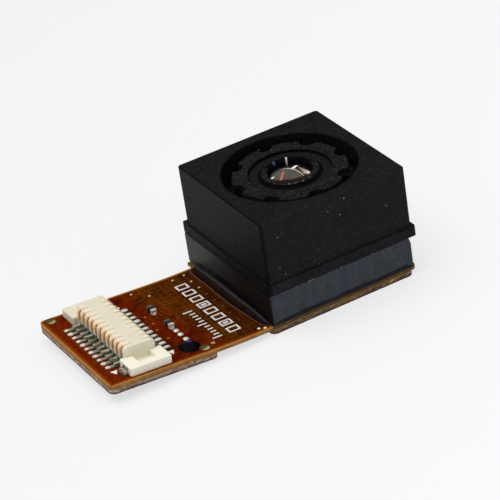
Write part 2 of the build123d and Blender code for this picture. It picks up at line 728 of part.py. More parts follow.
def focus_lock_glue():
    """Plug of glue in one notch, from the barrel to the wall of the opening."""
    fill = ring(OPENING_R, BARREL_R, OPENING_FLOOR, RIM_FACE - LOCK_DROP)
    reach = 2 * OPENING_R
    spread = reach * math.tan(math.radians(LOCK_SPAN / 2))
    wedge = prism([(0, 0), (reach, -spread), (reach, spread)], HOUSING_TOP)
    return (fill & (Rot(0, 0, notch_angle(LOCK_NOTCH)) * wedge)) - lens_barrel()


def foot_epoxy_bead():
    """Glue run out along the frame's foot on the tail side: a hollow slope and a thin apron."""
    x = FRAME_FACE_TAIL_X
    y0 = BOARD_NEAR_Y + BEAD_NEAR_INSET
    y1 = min(TAIL_FAR_Y, FRAME_FACE_FAR_Y) - BEAD_FAR_INSET
    z = BOARD_TOP
    run = BEAD_OUT - APRON_T
    rise = BEAD_HEIGHT - APRON_T
    middle = (x - run / 2 + BEAD_HOLLOW, y0, z + APRON_T + rise / 2 - BEAD_HOLLOW)
    section = closed_face([
        Line((x, y0, z), (x, y0, z + BEAD_HEIGHT)),
        ThreePointArc((x, y0, z + BEAD_HEIGHT), middle, (x - BEAD_OUT, y0, z + APRON_T)),
        Line((x - BEAD_OUT, y0, z + APRON_T), (x - APRON_OUT, y0, z + APRON_T)),
        Line((x - APRON_OUT, y0, z + APRON_T), (x - APRON_OUT, y0, z)),
        Line((x - APRON_OUT, y0, z), (x, y0, z)),
    ])
    bead = extrude(section, amount=y1 - y0, dir=(0, 1, 0))
    return bead - board_and_below()


def board_and_below():
    """The board and the space under it, to trim what lies on the film."""
    under = slab(TAIL_TIP_X, HEAD_BOARD_END_X, BOARD_NEAR_Y, HEAD_BOARD_FAR_Y, 0, BOARD_TOP)
    return under + bent_layer(-FLEX_T, 0.0)


def side_glue():
    """Narrow dark fillet of glue along the frame's near foot."""
    foot_y = BOARD_NEAR_Y + SIDE_GLUE_MARGIN
    x0 = FRAME_FACE_TAIL_X + FRAME_CORNER_R
    x1 = FRAME_FACE_END_X - FRAME_CORNER_R
    section = make_face(Polyline([
        (x0, FRAME_FACE_NEAR_Y, BOARD_TOP),
        (x0, foot_y, BOARD_TOP),
        (x0, FRAME_FACE_NEAR_Y, BOARD_TOP + SIDE_GLUE_HEIGHT),
    ], close=True))
    return extrude(section, amount=x1 - x0, dir=(1, 0, 0))


def contact_places():
    """Place along Y of each contact in a row."""
    first = TAIL_MID_Y + (CONTACT_COUNT - 1) / 2 * CONTACT_PITCH
    return [first - i * CONTACT_PITCH for i in range(CONTACT_COUNT)]


def contact(y, side):
    """One contact, flat on its pad, up the bar's side, round its top edge and in along the top."""
    outer = CONTACT_FACE
    inner = outer - CONTACT_T
    top = BAR_HEIGHT + CONTACT_PROUD
    under = top - CONTACT_T
    edge_r = BAR_EDGE_R + CONTACT_PROUD
    inner_r = edge_r - CONTACT_T
    foot = PAD_T
    foot_top = foot + CONTACT_T
    toe = outer + LEAD_LENGTH
    tip = outer - edge_r - CONTACT_TIP
    diagonal = math.sqrt(0.5)

    def at(d, h):
        return (PLUG_X + side * d, y - CONTACT_WIDTH / 2, h)

    centre_d = outer - edge_r
    centre_h = top - edge_r
    section = closed_face([
        Line(at(toe, foot), at(inner, foot)),
        Line(at(inner, foot), at(inner, centre_h)),
        ThreePointArc(at(inner, centre_h), at(centre_d + inner_r * diagonal, centre_h + inner_r * diagonal),
                      at(centre_d, under)),
        Line(at(centre_d, under), at(tip, under)),
        Line(at(tip, under), at(tip, top)),
        Line(at(tip, top), at(centre_d, top)),
        ThreePointArc(at(centre_d, top), at(centre_d + edge_r * diagonal, centre_h + edge_r * diagonal),
                      at(outer, centre_h)),
        Line(at(outer, centre_h), at(outer, foot_top)),
        Line(at(outer, foot_top), at(toe, foot_top)),
        Line(at(toe, foot_top), at(toe, foot)),
    ])
    return extrude(section, amount=CONTACT_WIDTH, dir=(0, 1, 0))


def contact_row(side):
    return [tail_frame() * contact(y, side) for y in contact_places()]


def pad_row(side):
    """Soldered pads under one row of leads, reaching out beyond the leads' toes."""
    middle = PLUG_X + side * (PAD_REACH - PAD_LENGTH / 2)
    return [
        tail_frame() * centred_slab(middle, y, PAD_LENGTH, PAD_WIDTH, 0, PAD_T)
        for y in contact_places()
    ]


def plug_housing():
    """Bar with rounded long edges, slotted for its contacts, between two pocketed end blocks."""
    half_bar = BAR_LENGTH / 2
    half_plug = PLUG_LENGTH / 2
    top = BAR_HEIGHT
    bar = centred_slab(PLUG_X, TAIL_MID_Y, 2 * BAR_HALF_WIDTH, BAR_LENGTH, PLUG_LIFT, top)
    bar = fillet(bar.edges().filter_by(Axis.Y).group_by(Axis.Z)[-1], BAR_EDGE_R)
    bar = fillet(bar.edges().filter_by(Axis.X).group_by(Axis.Z)[-1], BAR_END_R)
    body = bar
    for side in (-1, 1):
        near_y = TAIL_MID_Y + side * (half_bar - BAR_END_MARGIN + END_GAP + CONTACT_WIDTH / 2)
        end_y = TAIL_MID_Y + side * half_plug
        low_y = min(near_y, end_y)
        high_y = max(near_y, end_y)
        half = END_BLOCK_HALF_WIDTH
        block = slab(PLUG_X - half, PLUG_X + half, low_y, high_y, PLUG_LIFT, END_BLOCK_HEIGHT, END_BLOCK_R)
        body += fillet(block.edges().group_by(Axis.Z)[-1], END_BLOCK_EDGE_R)
    for side in (-1, 1):
        pocket_in = TAIL_MID_Y + side * half_bar
        pocket_out = TAIL_MID_Y + side * (half_plug - POCKET_END_WALL)
        pocket_half = END_BLOCK_HALF_WIDTH - POCKET_SIDE_WALL
        body -= slab(PLUG_X - pocket_half, PLUG_X + pocket_half, min(pocket_in, pocket_out),
                     max(pocket_in, pocket_out), POCKET_FLOOR, END_BLOCK_HEIGHT)
    for side in (-1, 1):
        body -= rib_foot_gap(side)
        for y in contact_places():
            body -= contact(y, side)
        body -= hold_down_tab(side)
    return tail_frame() * body


def rib_foot_gap(side):
    """Low recess along one side of the bar, under the ribs that stand between the contacts."""
    middle = PLUG_X + side * (BAR_HALF_WIDTH - RIB_FOOT_DEPTH / 2)
    row = (CONTACT_COUNT - 1) * CONTACT_PITCH + CONTACT_WIDTH
    return centred_slab(middle, TAIL_MID_Y, RIB_FOOT_DEPTH, row, PLUG_LIFT, RIB_FOOT_GAP)


def hold_down_tab(side):
    """Bent metal tab in one end block: a leg in the block's side and a foot on the board."""
    face = END_BLOCK_HALF_WIDTH
    middle_y = TAIL_MID_Y + side * (PLUG_LENGTH / 2 - TAB_FROM_END - TAB_LENGTH / 2)
    leg_top = END_BLOCK_HEIGHT - END_BLOCK_R
    legs = PLUG_X + side * (face - TAB_T / 2)
    foot = PLUG_X + side * (face + TAB_OUT / 2)
    leg = centred_slab(legs, middle_y, TAB_T, TAB_LENGTH, 0, leg_top)
    return leg + centred_slab(foot, middle_y, TAB_OUT, TAB_LENGTH, 0, TAB_FOOT)


def hold_down_tabs():
    return [tail_frame() * hold_down_tab(side) for side in (-1, 1)]


def bare_pads():
    """Empty soldered pads beside the chips, each a low block with rounded upper edges."""
    pads = []
    for side in BARE_PAD_SIDE:
        pad = centred_slab(0, 0, BARE_PAD_SIZE, BARE_PAD_SIZE, 0, BARE_PAD_T, BARE_PAD_CORNER_R)
        pad = fillet(pad.edges().group_by(Axis.Z)[-1], BARE_PAD_EDGE_R)
        pads.append(stiff_place(BARE_PAD_BACK, side) * pad)
    return pads


def ink_dot():
    """Round flat drop of black ink, run up to the edge of the gold sight beside it."""
    disc = Pos(0, 0, INK_HEIGHT / 2) * Cylinder(INK_R, INK_HEIGHT)
    drop = stiff_place(INK_BACK, INK_SIDE) * fillet(disc.edges().group_by(Axis.Z)[-1], INK_EDGE_R)
    for sight in fiducial_marks():
        drop -= sight
    return drop


def round_cutter(radius):
    """Upright round cutter through the board's top face."""
    return Cylinder(radius, BOARD_TOP)


def film_patches(thickness, cutters):
    """Pieces of one thin layer that follows the film, one inside each cutter."""
    layer = bent_layer(0.0, thickness)
    return [layer & cutter for cutter in cutters]


def fiducial_marks():
    """Two round gold sights in opposite corners of the plug's end of the board."""
    far = on_flex(TAIL_TIP_X + FIDUCIAL_TIP_INSET, TAIL_FAR_Y - FIDUCIAL_FAR_INSET)
    near_side = on_flex(BEND_END_X - FIDUCIAL_BACK, BOARD_NEAR_Y + FIDUCIAL_NEAR_INSET)
    return film_patches(FIDUCIAL_T, [place * round_cutter(FIDUCIAL_R) for place in (far, near_side)])


def test_pads():
    plug_end = on_flex(BEND_END_X, BOARD_NEAR_Y + PLUG_END_PAD_INSET) * round_cutter(PLUG_END_PAD_R)
    head_end = [
        on_flex(BEND_START_X - back, BOARD_NEAR_Y + inset) * round_cutter(HEAD_END_PAD_R)
        for back, inset in HEAD_END_PADS
    ]
    return film_patches(TEST_PAD_T, [plug_end] + head_end)


def via_caps():
    """Plated holes, closed over: a row that crosses the board beside the head, and a few more."""
    first_y = TAIL_FAR_Y - VIA_ROW_FAR_INSET
    row = [on_flex(BEND_START_X - VIA_ROW_BACK, first_y - i * VIA_PITCH) for i in range(VIA_COUNT)]
    head_end = [on_flex(BEND_START_X - HEAD_END_VIA_BACK, TAIL_FAR_Y - HEAD_END_VIA_FAR_INSET)]
    plug_end = [stiff_place(back, side) for back, side in PLUG_END_VIAS]
    return film_patches(VIA_T, [place * round_cutter(VIA_R) for place in row + head_end + plug_end])


def mark(length, width):
    """Cutter for one printed block, its middle at the origin."""
    return centred_slab(0, 0, length, width, -BOARD_TOP / 2, BOARD_TOP / 2)


def mark_box(filled):
    """Cutters for a printed frame; a filled one has a block inside."""
    frame = mark(BOX_HEIGHT, BOX_WIDTH) - mark(BOX_HEIGHT - 2 * MARK_STROKE, BOX_WIDTH - 2 * MARK_STROKE)
    rim = 2 * (MARK_STROKE + MARK_GAP)
    return [frame, mark(BOX_HEIGHT - rim, BOX_WIDTH - rim)] if filled else [frame]


def printed_marks():
    """White print: a row of boxes, a row of ruler ticks, and a triangle by the first pin of each row."""
    marks = []
    for i in range(BOX_ROW_COUNT):
        place = on_flex(BEND_START_X - BOX_ROW_BACK, TAIL_MID_Y + BOX_ROW_FIRST_SIDE - i * BOX_ROW_PITCH)
        marks += [place * piece for piece in mark_box(i in BOX_FILLED)]
    for i in range(TICK_COUNT):
        length = TICK_SHORT if i % TICK_LONG_EVERY else TICK_LONG
        x = BEND_START_X - TICK_ROW_BACK + (TICK_LONG - length) / 2
        y = TAIL_MID_Y + TICK_ROW_FIRST_SIDE - i * TICK_PITCH
        marks.append(on_flex(x, y) * mark(length, MARK_STROKE))
    row_end = contact_places()[-1] - CONTACT_PITCH
    for side in (-1, 1):
        x = PLUG_X + side * (CONTACT_FACE + LEAD_LENGTH + PIN_MARK_GAP)
        half = PIN_MARK_SIZE / 2
        triangle = prism([(-half, 0), (half, 0), (0, -PIN_MARK_SIZE)], BOARD_TOP / 2)
        marks.append(on_flex(x, row_end) * triangle)
    return film_patches(MARK_T, marks)


def nodes():
    """Every node by name, each a list of solids."""
    return {
        "head_stiffener": [head_stiffener()],
        "head_stiffener_adhesive": [head_stiffener_adhesive()],
        "plug_stiffener": [plug_stiffener()],
        "plug_stiffener_adhesive": [plug_stiffener_adhesive()],
        "flex_core": [flex_core()],
        "coverlay_top": [coverlay_top()],
        "coverlay_bottom": [coverlay_bottom()],
        "frame_adhesive": [frame_adhesive()],
        "lower_frame": [lower_frame()],
        "foot_epoxy_bead": [foot_epoxy_bead()],
        "side_glue": [side_glue()],
        "housing_adhesive": [housing_adhesive()],
        "upper_housing": [upper_housing()],
        "lens_barrel": [lens_barrel()],
        "focus_lock_glue": [focus_lock_glue()],
        "lens_1": [lens_1()],
        "spacer_1": [spacer_1()],
        "lens_2": [lens_2()],
        "spacer_2": [spacer_2()],
        "lens_3": [lens_3()],
        "lens_retainer": [lens_retainer()],
        "infrared_filter": [infrared_filter()],
        "filter_adhesive": [filter_adhesive()],
        "die_attach_film": [die_attach_film()],
        "image_sensor_die": [image_sensor_die()],
        "colour_filter_array": [colour_filter_array()],
        "bond_pads": bond_pads(),
        "bond_wires": bond_wires(),
        "inner_capacitor_bodies": chip_bodies(inner_chip_places()),
        "inner_capacitor_ends": chip_terminals(inner_chip_places()),
        "plug_housing": [plug_housing()],
        "contacts_tip_row": contact_row(-1),
        "contacts_head_row": contact_row(1),
        "solder_pads_tip_row": pad_row(-1),
        "solder_pads_head_row": pad_row(1),
        "hold_down_tabs": hold_down_tabs(),
        "chip_bodies": chip_bodies(tail_chip_places()),
        "chip_ends": chip_terminals(tail_chip_places()),
        "bare_solder_pads": bare_pads(),
        "ink_dot": [ink_dot()],
        "fiducial_marks": fiducial_marks(),
        "test_pads": test_pads(),
        "via_caps": via_caps(),
        "printed_marks": printed_marks(),
    }


def main():
    parts = {name: Compound(children=solids) for name, solids in nodes().items()}
    box = Compound(children=list(parts.values())).bounding_box()
    to_reference = Pos(-box.center().X, -box.center().Y, -box.min.Z)
    os.makedirs("parts", exist_ok=True)
    for name, part in parts.items():
        solids = [to_reference * solid for solid in part.solids()]
        export_step(solids[0] if len(solids) == 1 else Compound(children=solids), f"parts/{name}.step")
    print("size", box.size, "moved by", to_reference.position)


main()
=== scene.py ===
# A camera module on its flexible board: finishes for its CAD nodes, fine pieces, light and camera.
import math

import bpy
import numpy as np
from mathutils import Matrix, Vector


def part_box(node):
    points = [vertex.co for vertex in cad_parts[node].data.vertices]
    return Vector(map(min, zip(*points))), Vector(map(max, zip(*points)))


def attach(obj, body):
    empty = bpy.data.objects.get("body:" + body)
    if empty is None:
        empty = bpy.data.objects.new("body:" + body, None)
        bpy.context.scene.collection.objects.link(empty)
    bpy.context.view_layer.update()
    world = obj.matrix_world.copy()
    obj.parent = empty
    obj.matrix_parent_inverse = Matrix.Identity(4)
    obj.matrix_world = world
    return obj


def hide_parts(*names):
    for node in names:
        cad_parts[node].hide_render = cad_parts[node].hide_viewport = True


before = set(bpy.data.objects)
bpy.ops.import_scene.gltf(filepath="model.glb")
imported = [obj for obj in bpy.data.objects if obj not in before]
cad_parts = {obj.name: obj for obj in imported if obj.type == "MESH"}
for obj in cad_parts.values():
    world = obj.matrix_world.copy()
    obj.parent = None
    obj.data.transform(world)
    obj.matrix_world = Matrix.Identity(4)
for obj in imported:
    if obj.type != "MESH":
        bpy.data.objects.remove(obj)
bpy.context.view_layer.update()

# All places are in millimetres in the head's frame, unless a line says otherwise: the lens axis is
# x = y = 0, +X points away from the plug, and z = 0 is under the head's stiffener.
MM = 0.001
AXIS_X, AXIS_Y = [(a + b) / 2 / MM for a, b in zip(*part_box("lens_barrel"))][:2]


def span(node):
    """Lowest and highest corner of a CAD node, in millimetres in the head's frame."""
    low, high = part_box(node)
    shift = np.array([AXIS_X, AXIS_Y, 0.0])
    return np.array(low) / MM - shift, np.array(high) / MM - shift


# heights and faces that the frame gives
BOARD_TOP = span("frame_adhesive")[0][2]
FRAME_TAIL_X = span("lower_frame")[0][0]
FRAME_NEAR_Y = span("lower_frame")[0][1]
FRAME_END_X = span("lower_frame")[1][0]
HOUSING_TOP = span("upper_housing")[1][2]
FLANGE_BASE = span("upper_housing")[0][2]
RIM_FACE = span("lens_barrel")[1][2]
BARREL_BACK = span("lens_barrel")[0][2]
BOARD_NEAR_Y = span("coverlay_top")[0][1]
BOARD_END_X = span("coverlay_top")[1][0]
HEAD_FAR_Y = span("coverlay_top")[1][1]
TAIL_FAR_Y = span("plug_stiffener")[1][1]
TAIL_MID_Y = (BOARD_NEAR_Y + TAIL_FAR_Y) / 2

# upper housing: a square round the lens axis, above its flange
HOUSING_HALF = 4.705
HOUSING_NEAR_Y = -HOUSING_HALF
HOUSING_TAIL_X = -HOUSING_HALF

# barrel: radii, depths under its rim face, and the rounded notches in its rim
RIM_R = 3.33
RIM_T = 0.72
NOTCH_R = 0.52
NOTCH_CENTRE_R = 3.40
NOTCH_COUNT = 8
NOTCH_PHASE = math.radians(41.0)
RECESS_R = 2.40
RECESS_DEPTH = 0.20
BOSS_FOOT_R = 1.89
BOSS_TOP_R = 1.64
APERTURE_R = 1.34
LIP_T = 0.30
BORE_FRONT_R = 2.05
BORE_BACK_R = 2.45
BARREL_R = 2.97
EDGE_R = 0.035

# the bent board, along its flat length, and its plates
BEND_START = -5.02
FREE_LENGTH = 3.36
TAIL_RISE = math.radians(4.12)
BEND_R = FREE_LENGTH / TAIL_RISE
BEND_END = BEND_START - FREE_LENGTH
TAIL_TIP = BEND_END - 6.78
FILM_T = 0.20
BOND_T = 0.05
PLATE_T = 0.30
PLATE_CORNER_R = 0.40
CORNER_STEPS = 15

# underside of what lies on the film, over the film's top face
SEAT = -0.004

# plug
PLUG_X = TAIL_TIP + 2.69
CONTACT_COUNT = 11
CONTACT_PITCH = 0.50
PAD_REACH = 2.02

# small parts on the tail
CHIPS = ((BEND_END - 1.08, TAIL_MID_Y + 1.46), (BEND_END - 1.04, TAIL_MID_Y - 0.55))
BARE_PADS = tuple((BEND_END - 0.98, TAIL_MID_Y + side) for side in (-1.24, -1.74, -2.36))
INK_X = BEND_END - 1.24
INK_Y = TAIL_MID_Y - 3.24
INK_R = 0.62
FIDUCIALS = ((BEND_END - 0.60, BOARD_NEAR_Y + 0.53), (TAIL_TIP + 0.60, TAIL_FAR_Y - 0.43))
PLUG_MARK_FROM = 2.42
PLUG_MARK_TO = 3.88
PLUG_MARK_OUT = 1.62

# what the film shows of the copper under it, and painted shade by the head: where each look starts and ends
# over x, and places
TIP_RED = (-12.2, -13.4)
FAN_LINES = (-10.6, -8.3)
COPPER_SPOTS = ((-10.04, 0.72), (-10.01, -0.19), (-10.18, -0.94), (-10.11, -2.12))
ARC_CENTRE = (-9.15, 0.35)
NET_START = (-9.0, -7.4)
# painted shade on the film by the head
HEAD_SHADE = (-6.9, -5.5)

# camera: place over the lens axis at the board's top, direction, roll and lens
CAMERA_PLACE = (-61.986, -121.206, 80.792)
CAMERA_AZIMUTH = -25.856
CAMERA_ELEVATION = 30.281
CAMERA_ROLL = -9.043
CAMERA_LENS = 198.2
CAMERA_FILM = 36.0

# cosine and sine of the turn from the head's axes to the photograph's level direction
VIEW_COS = 0.888
VIEW_SIN = 0.460

# lamp: place and size in metres, power in watts
LAMP_PLACE = (-0.10, 0.05, 0.30)
LAMP_SIZE = 0.20
LAMP_POWER = 0.35

# edges that turn by more than this shade as sharp ones
SHARP_TURN = math.radians(50)


class Shade:
    """One socket of a material's tree. Sums on it add Math nodes, and node() adds any other node."""

    def __init__(self, tree, socket=None):
        self.tree = tree
        self.socket = socket

    def node(self, kind, settings=None, feeds=None, out=0):
        """A node of that kind; feeds are values or Shades by input, out is the output to go on from."""
        made = self.tree.nodes.new(kind)
        for key, value in (settings or {}).items():
            setattr(made, key, value)
        for key, value in (feeds or {}).items():
            if isinstance(value, Shade):
                self.tree.links.new(value.socket, made.inputs[key])
            elif isinstance(value, tuple) and made.inputs[key].type == "RGBA":
                made.inputs[key].default_value = (*value, 1.0)
            else:
                made.inputs[key].default_value = value
        return Shade(self.tree, made.outputs[out] if made.outputs else None)

    def math(self, operation, *values):
        """A Math node on values or Shades."""
        return self.node("ShaderNodeMath", {"operation": operation}, dict(enumerate(values)))

    def __add__(self, other):
        return self.math("ADD", self, other)

    def __sub__(self, other):
        return self.math("SUBTRACT", self, other)

    def __rsub__(self, other):
        return self.math("SUBTRACT", other, self)

    def __mul__(self, other):
        return self.math("MULTIPLY", self, other)

    __radd__ = __add__
    __rmul__ = __mul__

    def sine(self):
        return self.math("SINE", self)

    def squared(self):
        return self * self

    def away_from(self, other):
        """Distance from the origin of a point whose two coordinates these are."""
        return self.math("SQRT", self.squared() + other.squared())

    def step(self, low, high):
        """0 below low, 1 above high, smooth between them; the other way round if low is above high."""
        feeds = {"Value": self, "From Min": min(low, high), "From Max": max(low, high)}
        if low > high:
            feeds.update({"To Min": 1.0, "To Max": 0.0})
        return self.node("ShaderNodeMapRange", {"interpolation_type": "SMOOTHSTEP"}, feeds)

    def between(self, low, high, soft):
        """1 between two values, 0 outside them."""
        return self.step(low - soft, low + soft) * self.step(high + soft, high - soft)

    def lines(self, pitch, width, soft=0.02):
        """Stripes of a width at each whole multiple of the pitch."""
        away = self.math("PINGPONG", self, pitch / 2)
        return away.step(width / 2 + soft, width / 2 - soft)

    def mix(self, low, high):
        """Colour from low to high as this goes from 0 to 1, by the Mix node's colour sockets."""
        return self.node("ShaderNodeMix", {"data_type": "RGBA"}, {0: self, 6: low, 7: high}, 2)

    def noise(self, per_mm, detail=2.0, rough=0.5, squeeze=(1.0, 1.0, 1.0)):
        """Noise with about so many lumps to the millimetre, over the object's own coordinates."""
        place = self.node("ShaderNodeTexCoord", out="Object")
        place = self.node("ShaderNodeVectorMath", {"operation": "MULTIPLY"}, {0: place, 1: squeeze})
        feeds = {"Vector": place, "Scale": per_mm / MM, "Detail": detail, "Roughness": rough}
        return self.node("ShaderNodeTexNoise", None, feeds)

    def place(self):
        """x, y and z in the head's frame, in millimetres."""
        coords = self.node("ShaderNodeTexCoord", out="Object")
        parts = [coords.node("ShaderNodeSeparateXYZ", None, {0: coords}, out) for out in range(3)]
        return parts[0] * (1 / MM) - AXIS_X, parts[1] * (1 / MM) - AXIS_Y, parts[2] * (1 / MM)

    def cells(self, per_mm, jitter):
        """Distance to the edges of flat cells, about so many to the millimetre, over x and y."""
        place = self.node("ShaderNodeTexCoord", out="Object")
        feeds = {"Vector": place, "Scale": per_mm / MM, "Randomness": jitter}
        settings = {"feature": "DISTANCE_TO_EDGE", "voronoi_dimensions": "2D"}
        return self.node("ShaderNodeTexVoronoi", settings, feeds, "Distance")

    def attribute(self, name):
        """A number that the mesh holds at each point."""
        return self.node("ShaderNodeAttribute", {"attribute_name": name}, None, "Fac")

    def bump(self, height_mm):
        """Normal for a relief whose height in millimetres this is, times height_mm."""
        feeds = {"Height": self * (height_mm * MM), "Strength": 1.0, "Distance": 1.0}
        return self.node("ShaderNodeBump", None, feeds)


def empty_tree(owner):
    """Tree of a material or a world, with nothing in it."""
    owner.use_nodes = True
    owner.node_tree.nodes.clear()
    return Shade(owner.node_tree)


def placed(name, data):
    """Object in the scene from its data."""
    made = bpy.data.objects.new(name, data)
    bpy.context.scene.collection.objects.link(made)
    return made


def surface(name, build):
    """Material whose Principled inputs build(tree) returns as a dict."""
    material = bpy.data.materials.new(name)
    tree = empty_tree(material)
    shader = tree.node("ShaderNodeBsdfPrincipled", None, build(tree))
    tree.node("ShaderNodeOutputMaterial", None, {"Surface": shader})
    return material


def finish(colour, roughness, specular=0.5, **others):
    """Inputs of the Principled shader."""
    return {"Base Color": colour, "Roughness": roughness, "Specular IOR Level": specular, **others}


def plain(colour, roughness=0.5, metallic=0.0, specular=0.5):
    """Builder of an even finish with a little cloudiness in its tone."""
    def build(tree):
        cloud = tree.noise(6.0)
        dim = tuple(0.82 * c for c in colour)
        return finish(cloud.mix(dim, colour), roughness, specular, Metallic=metallic)
    return build


def view_axes(x, y):
    """x and y turned about the lens axis, to the photograph's level direction and its line of sight."""
    return x * VIEW_COS - y * VIEW_SIN, x * VIEW_SIN + y * VIEW_COS


def moulded_black(tree):
    """Fine matt black mould texture, greyer where the flow shows, dust-like light grains, painted light and
    shade.
    """
    x, y, z = tree.place()
    grain = tree.noise(9.0, 3.0, 0.85)
    flow = tree.noise(0.7, 3.0, 0.65, (1.0, 1.0, 1.6))
    fleck = tree.noise(8.0, 0.0, 0.5).step(0.72, 0.80)
    # near marks the near face: painted light makes it lighter and bluer than the top, its grain pits too
    near = y.step(HOUSING_NEAR_Y + 0.155, HOUSING_NEAR_Y + 0.015)
    cloud = flow.step(0.35, 0.65)
    base = near.mix(cloud.mix((0.0072, 0.0073, 0.0069), (0.0110, 0.0110, 0.0103)),
                    cloud.mix((0.0122, 0.0130, 0.0142), (0.0180, 0.0186, 0.0198)))
    pit = near.mix((0.0020, 0.0021, 0.0021), (0.0082, 0.0088, 0.0100))
    base = grain.step(0.38, 0.62).mix(pit, base)
    base = (fleck * (0.25 - near * 0.12)).mix(base, (0.10, 0.11, 0.10))
    # painted light on the tail side, growing upwards and towards the far end, in coarse grain
    tail_side = x.step(HOUSING_TAIL_X + 0.055, HOUSING_TAIL_X + 0.005)
    lit_upward = (z + y * 0.6).step(1.0, 7.5)
    coarse = grain.step(0.36, 0.64).mix((0.0065, 0.0065, 0.0065), (0.0260, 0.0255, 0.0250))
    base = (tail_side * lit_upward).mix(base, coarse)
    # painted shade along the tail side's top edge and down its corner with the near face
    shaded_top_edge = x.step(HOUSING_TAIL_X + 0.145, HOUSING_TAIL_X + 0.095)
    shaded_top_edge = shaded_top_edge * z.step(HOUSING_TOP - 0.09, HOUSING_TOP - 0.04)
    shaded_corner_edge = x.step(HOUSING_TAIL_X + 0.175, HOUSING_TAIL_X + 0.035)
    shaded_corner_edge = shaded_corner_edge * y.step(HOUSING_NEAR_Y + 0.325, HOUSING_NEAR_Y + 0.105) * 0.8
    base = tree.math("MAXIMUM", shaded_top_edge, shaded_corner_edge).mix(base, (0.0022, 0.0022, 0.0022))
    return finish(base, 0.62, 0.05, Normal=grain.bump(0.009))


def barrel_black(tree):
    """Grainy greenish black, blacker with painted shade on the recess and boss walls and in the opening, with
    painted glints.
    """
    x, y, z = tree.place()
    across, away = view_axes(x, y)
    radius = x.away_from(y)
    grain = tree.noise(7.0, 3.0, 0.85)
    tint = tree.noise(5.0, 1.0).step(0.4, 0.6)
    fleck = tree.noise(8.0, 0.0, 0.5).step(0.66, 0.78)
    base = tint.mix((0.0128, 0.0168, 0.0150), (0.0190, 0.0164, 0.0140))
    base = grain.step(0.40, 0.60).mix((0.0040, 0.0044, 0.0045), base)
    base = (fleck * z.step(RIM_FACE - 0.06, RIM_FACE - 0.02) * 0.30).mix(base, (0.14, 0.15, 0.12))
    below = z.step(RIM_FACE - 0.003, RIM_FACE - 0.014)
    # painted shade on the walls of the recess and the boss
    shaded_recess_wall = radius.between(RECESS_R - 0.03, RECESS_R + 0.02, 0.01) * below
    shaded_boss_wall = radius.between(BOSS_TOP_R + 0.02, BOSS_FOOT_R - 0.01, 0.01) * below
    base = tree.math("MAXIMUM", shaded_recess_wall, shaded_boss_wall).mix(base, (0.0022, 0.0024, 0.0028))
    # painted shade in the tapered aperture and on the far half of the boss's top
    taper = radius.step(APERTURE_R + 0.01, APERTURE_R - 0.005) * below
    far_lip = radius.step(BOSS_TOP_R - 0.02, BOSS_TOP_R - 0.14) * away.step(0.35, 0.75)
    shaded_hole = tree.math("MAXIMUM", taper, far_lip)
    base = shaded_hole.mix(base, (0.0012, 0.0012, 0.0026))
    # painted highlights: a white glint and a bluish glint in the opening
    glint = across.between(-0.165, -0.075, 0.035) * away.between(0.98, 1.58, 0.05)
    glint = glint * away.step(0.90, 1.50)
    base = (glint * shaded_hole).mix(base, (0.62, 0.64, 0.72))
    blue = (across + 0.86).squared() * 2.2 + (away - 1.10).squared() * 0.6
    base = (blue.step(0.034, 0.004) * shaded_hole * 0.7).mix(base, (0.050, 0.075, 0.140))
    # painted highlight: sparkles along the near edge of the boss's top
    near_rim = radius.between(BOSS_TOP_R - 0.065, BOSS_TOP_R - 0.015, 0.02) * away.step(-0.75, -1.1)
    sparkle = tree.noise(8.0, 0.0).step(0.60, 0.68) * near_rim
    base = (sparkle * 0.7).mix(base, (0.34, 0.34, 0.26))
    return finish(base, 0.6, 0.015, Normal=grain.bump(0.010))


def frame_grey(tree):
    """Satin blue-grey plastic with fine upright streaks; the tail's side has a painted brown-grey reflection
    and painted shade.
    """
    x, y, _ = tree.place()
    streak = tree.noise(3.2, 3.0, 0.6, (1.0, 1.0, 0.25))
    grain = tree.noise(10.0, 2.0, 0.7)
    base = streak.step(0.35, 0.70).mix((0.047, 0.051, 0.059), (0.065, 0.072, 0.081))
    base = grain.step(0.36, 0.64).mix((0.034, 0.039, 0.052), base)
    # painted light on the tail's side: a brown-grey reflection at its far end, fading to painted shade at its
    # near end
    side = x.step(FRAME_TAIL_X + 0.14, FRAME_TAIL_X + 0.09)
    dark = y.step(-2.4, 4.2).mix((0.0085, 0.0068, 0.0060), (0.056, 0.055, 0.053))
    dark = (grain.step(0.7, 0.3) * 0.35).mix(dark, (0.0, 0.0, 0.0))
    return finish(side.mix(base, dark), 0.5, 0.08, Normal=grain.bump(0.003))


def copper_spots(tree, x, y):
    """1 at the round spots of copper that show through the film."""
    spots = None
    for sx, sy in COPPER_SPOTS:
        spot = (x - sx).away_from(y - sy).step(0.13, 0.05)
        spots = spot if spots is None else tree.math("MAXIMUM", spots, spot)
    return spots


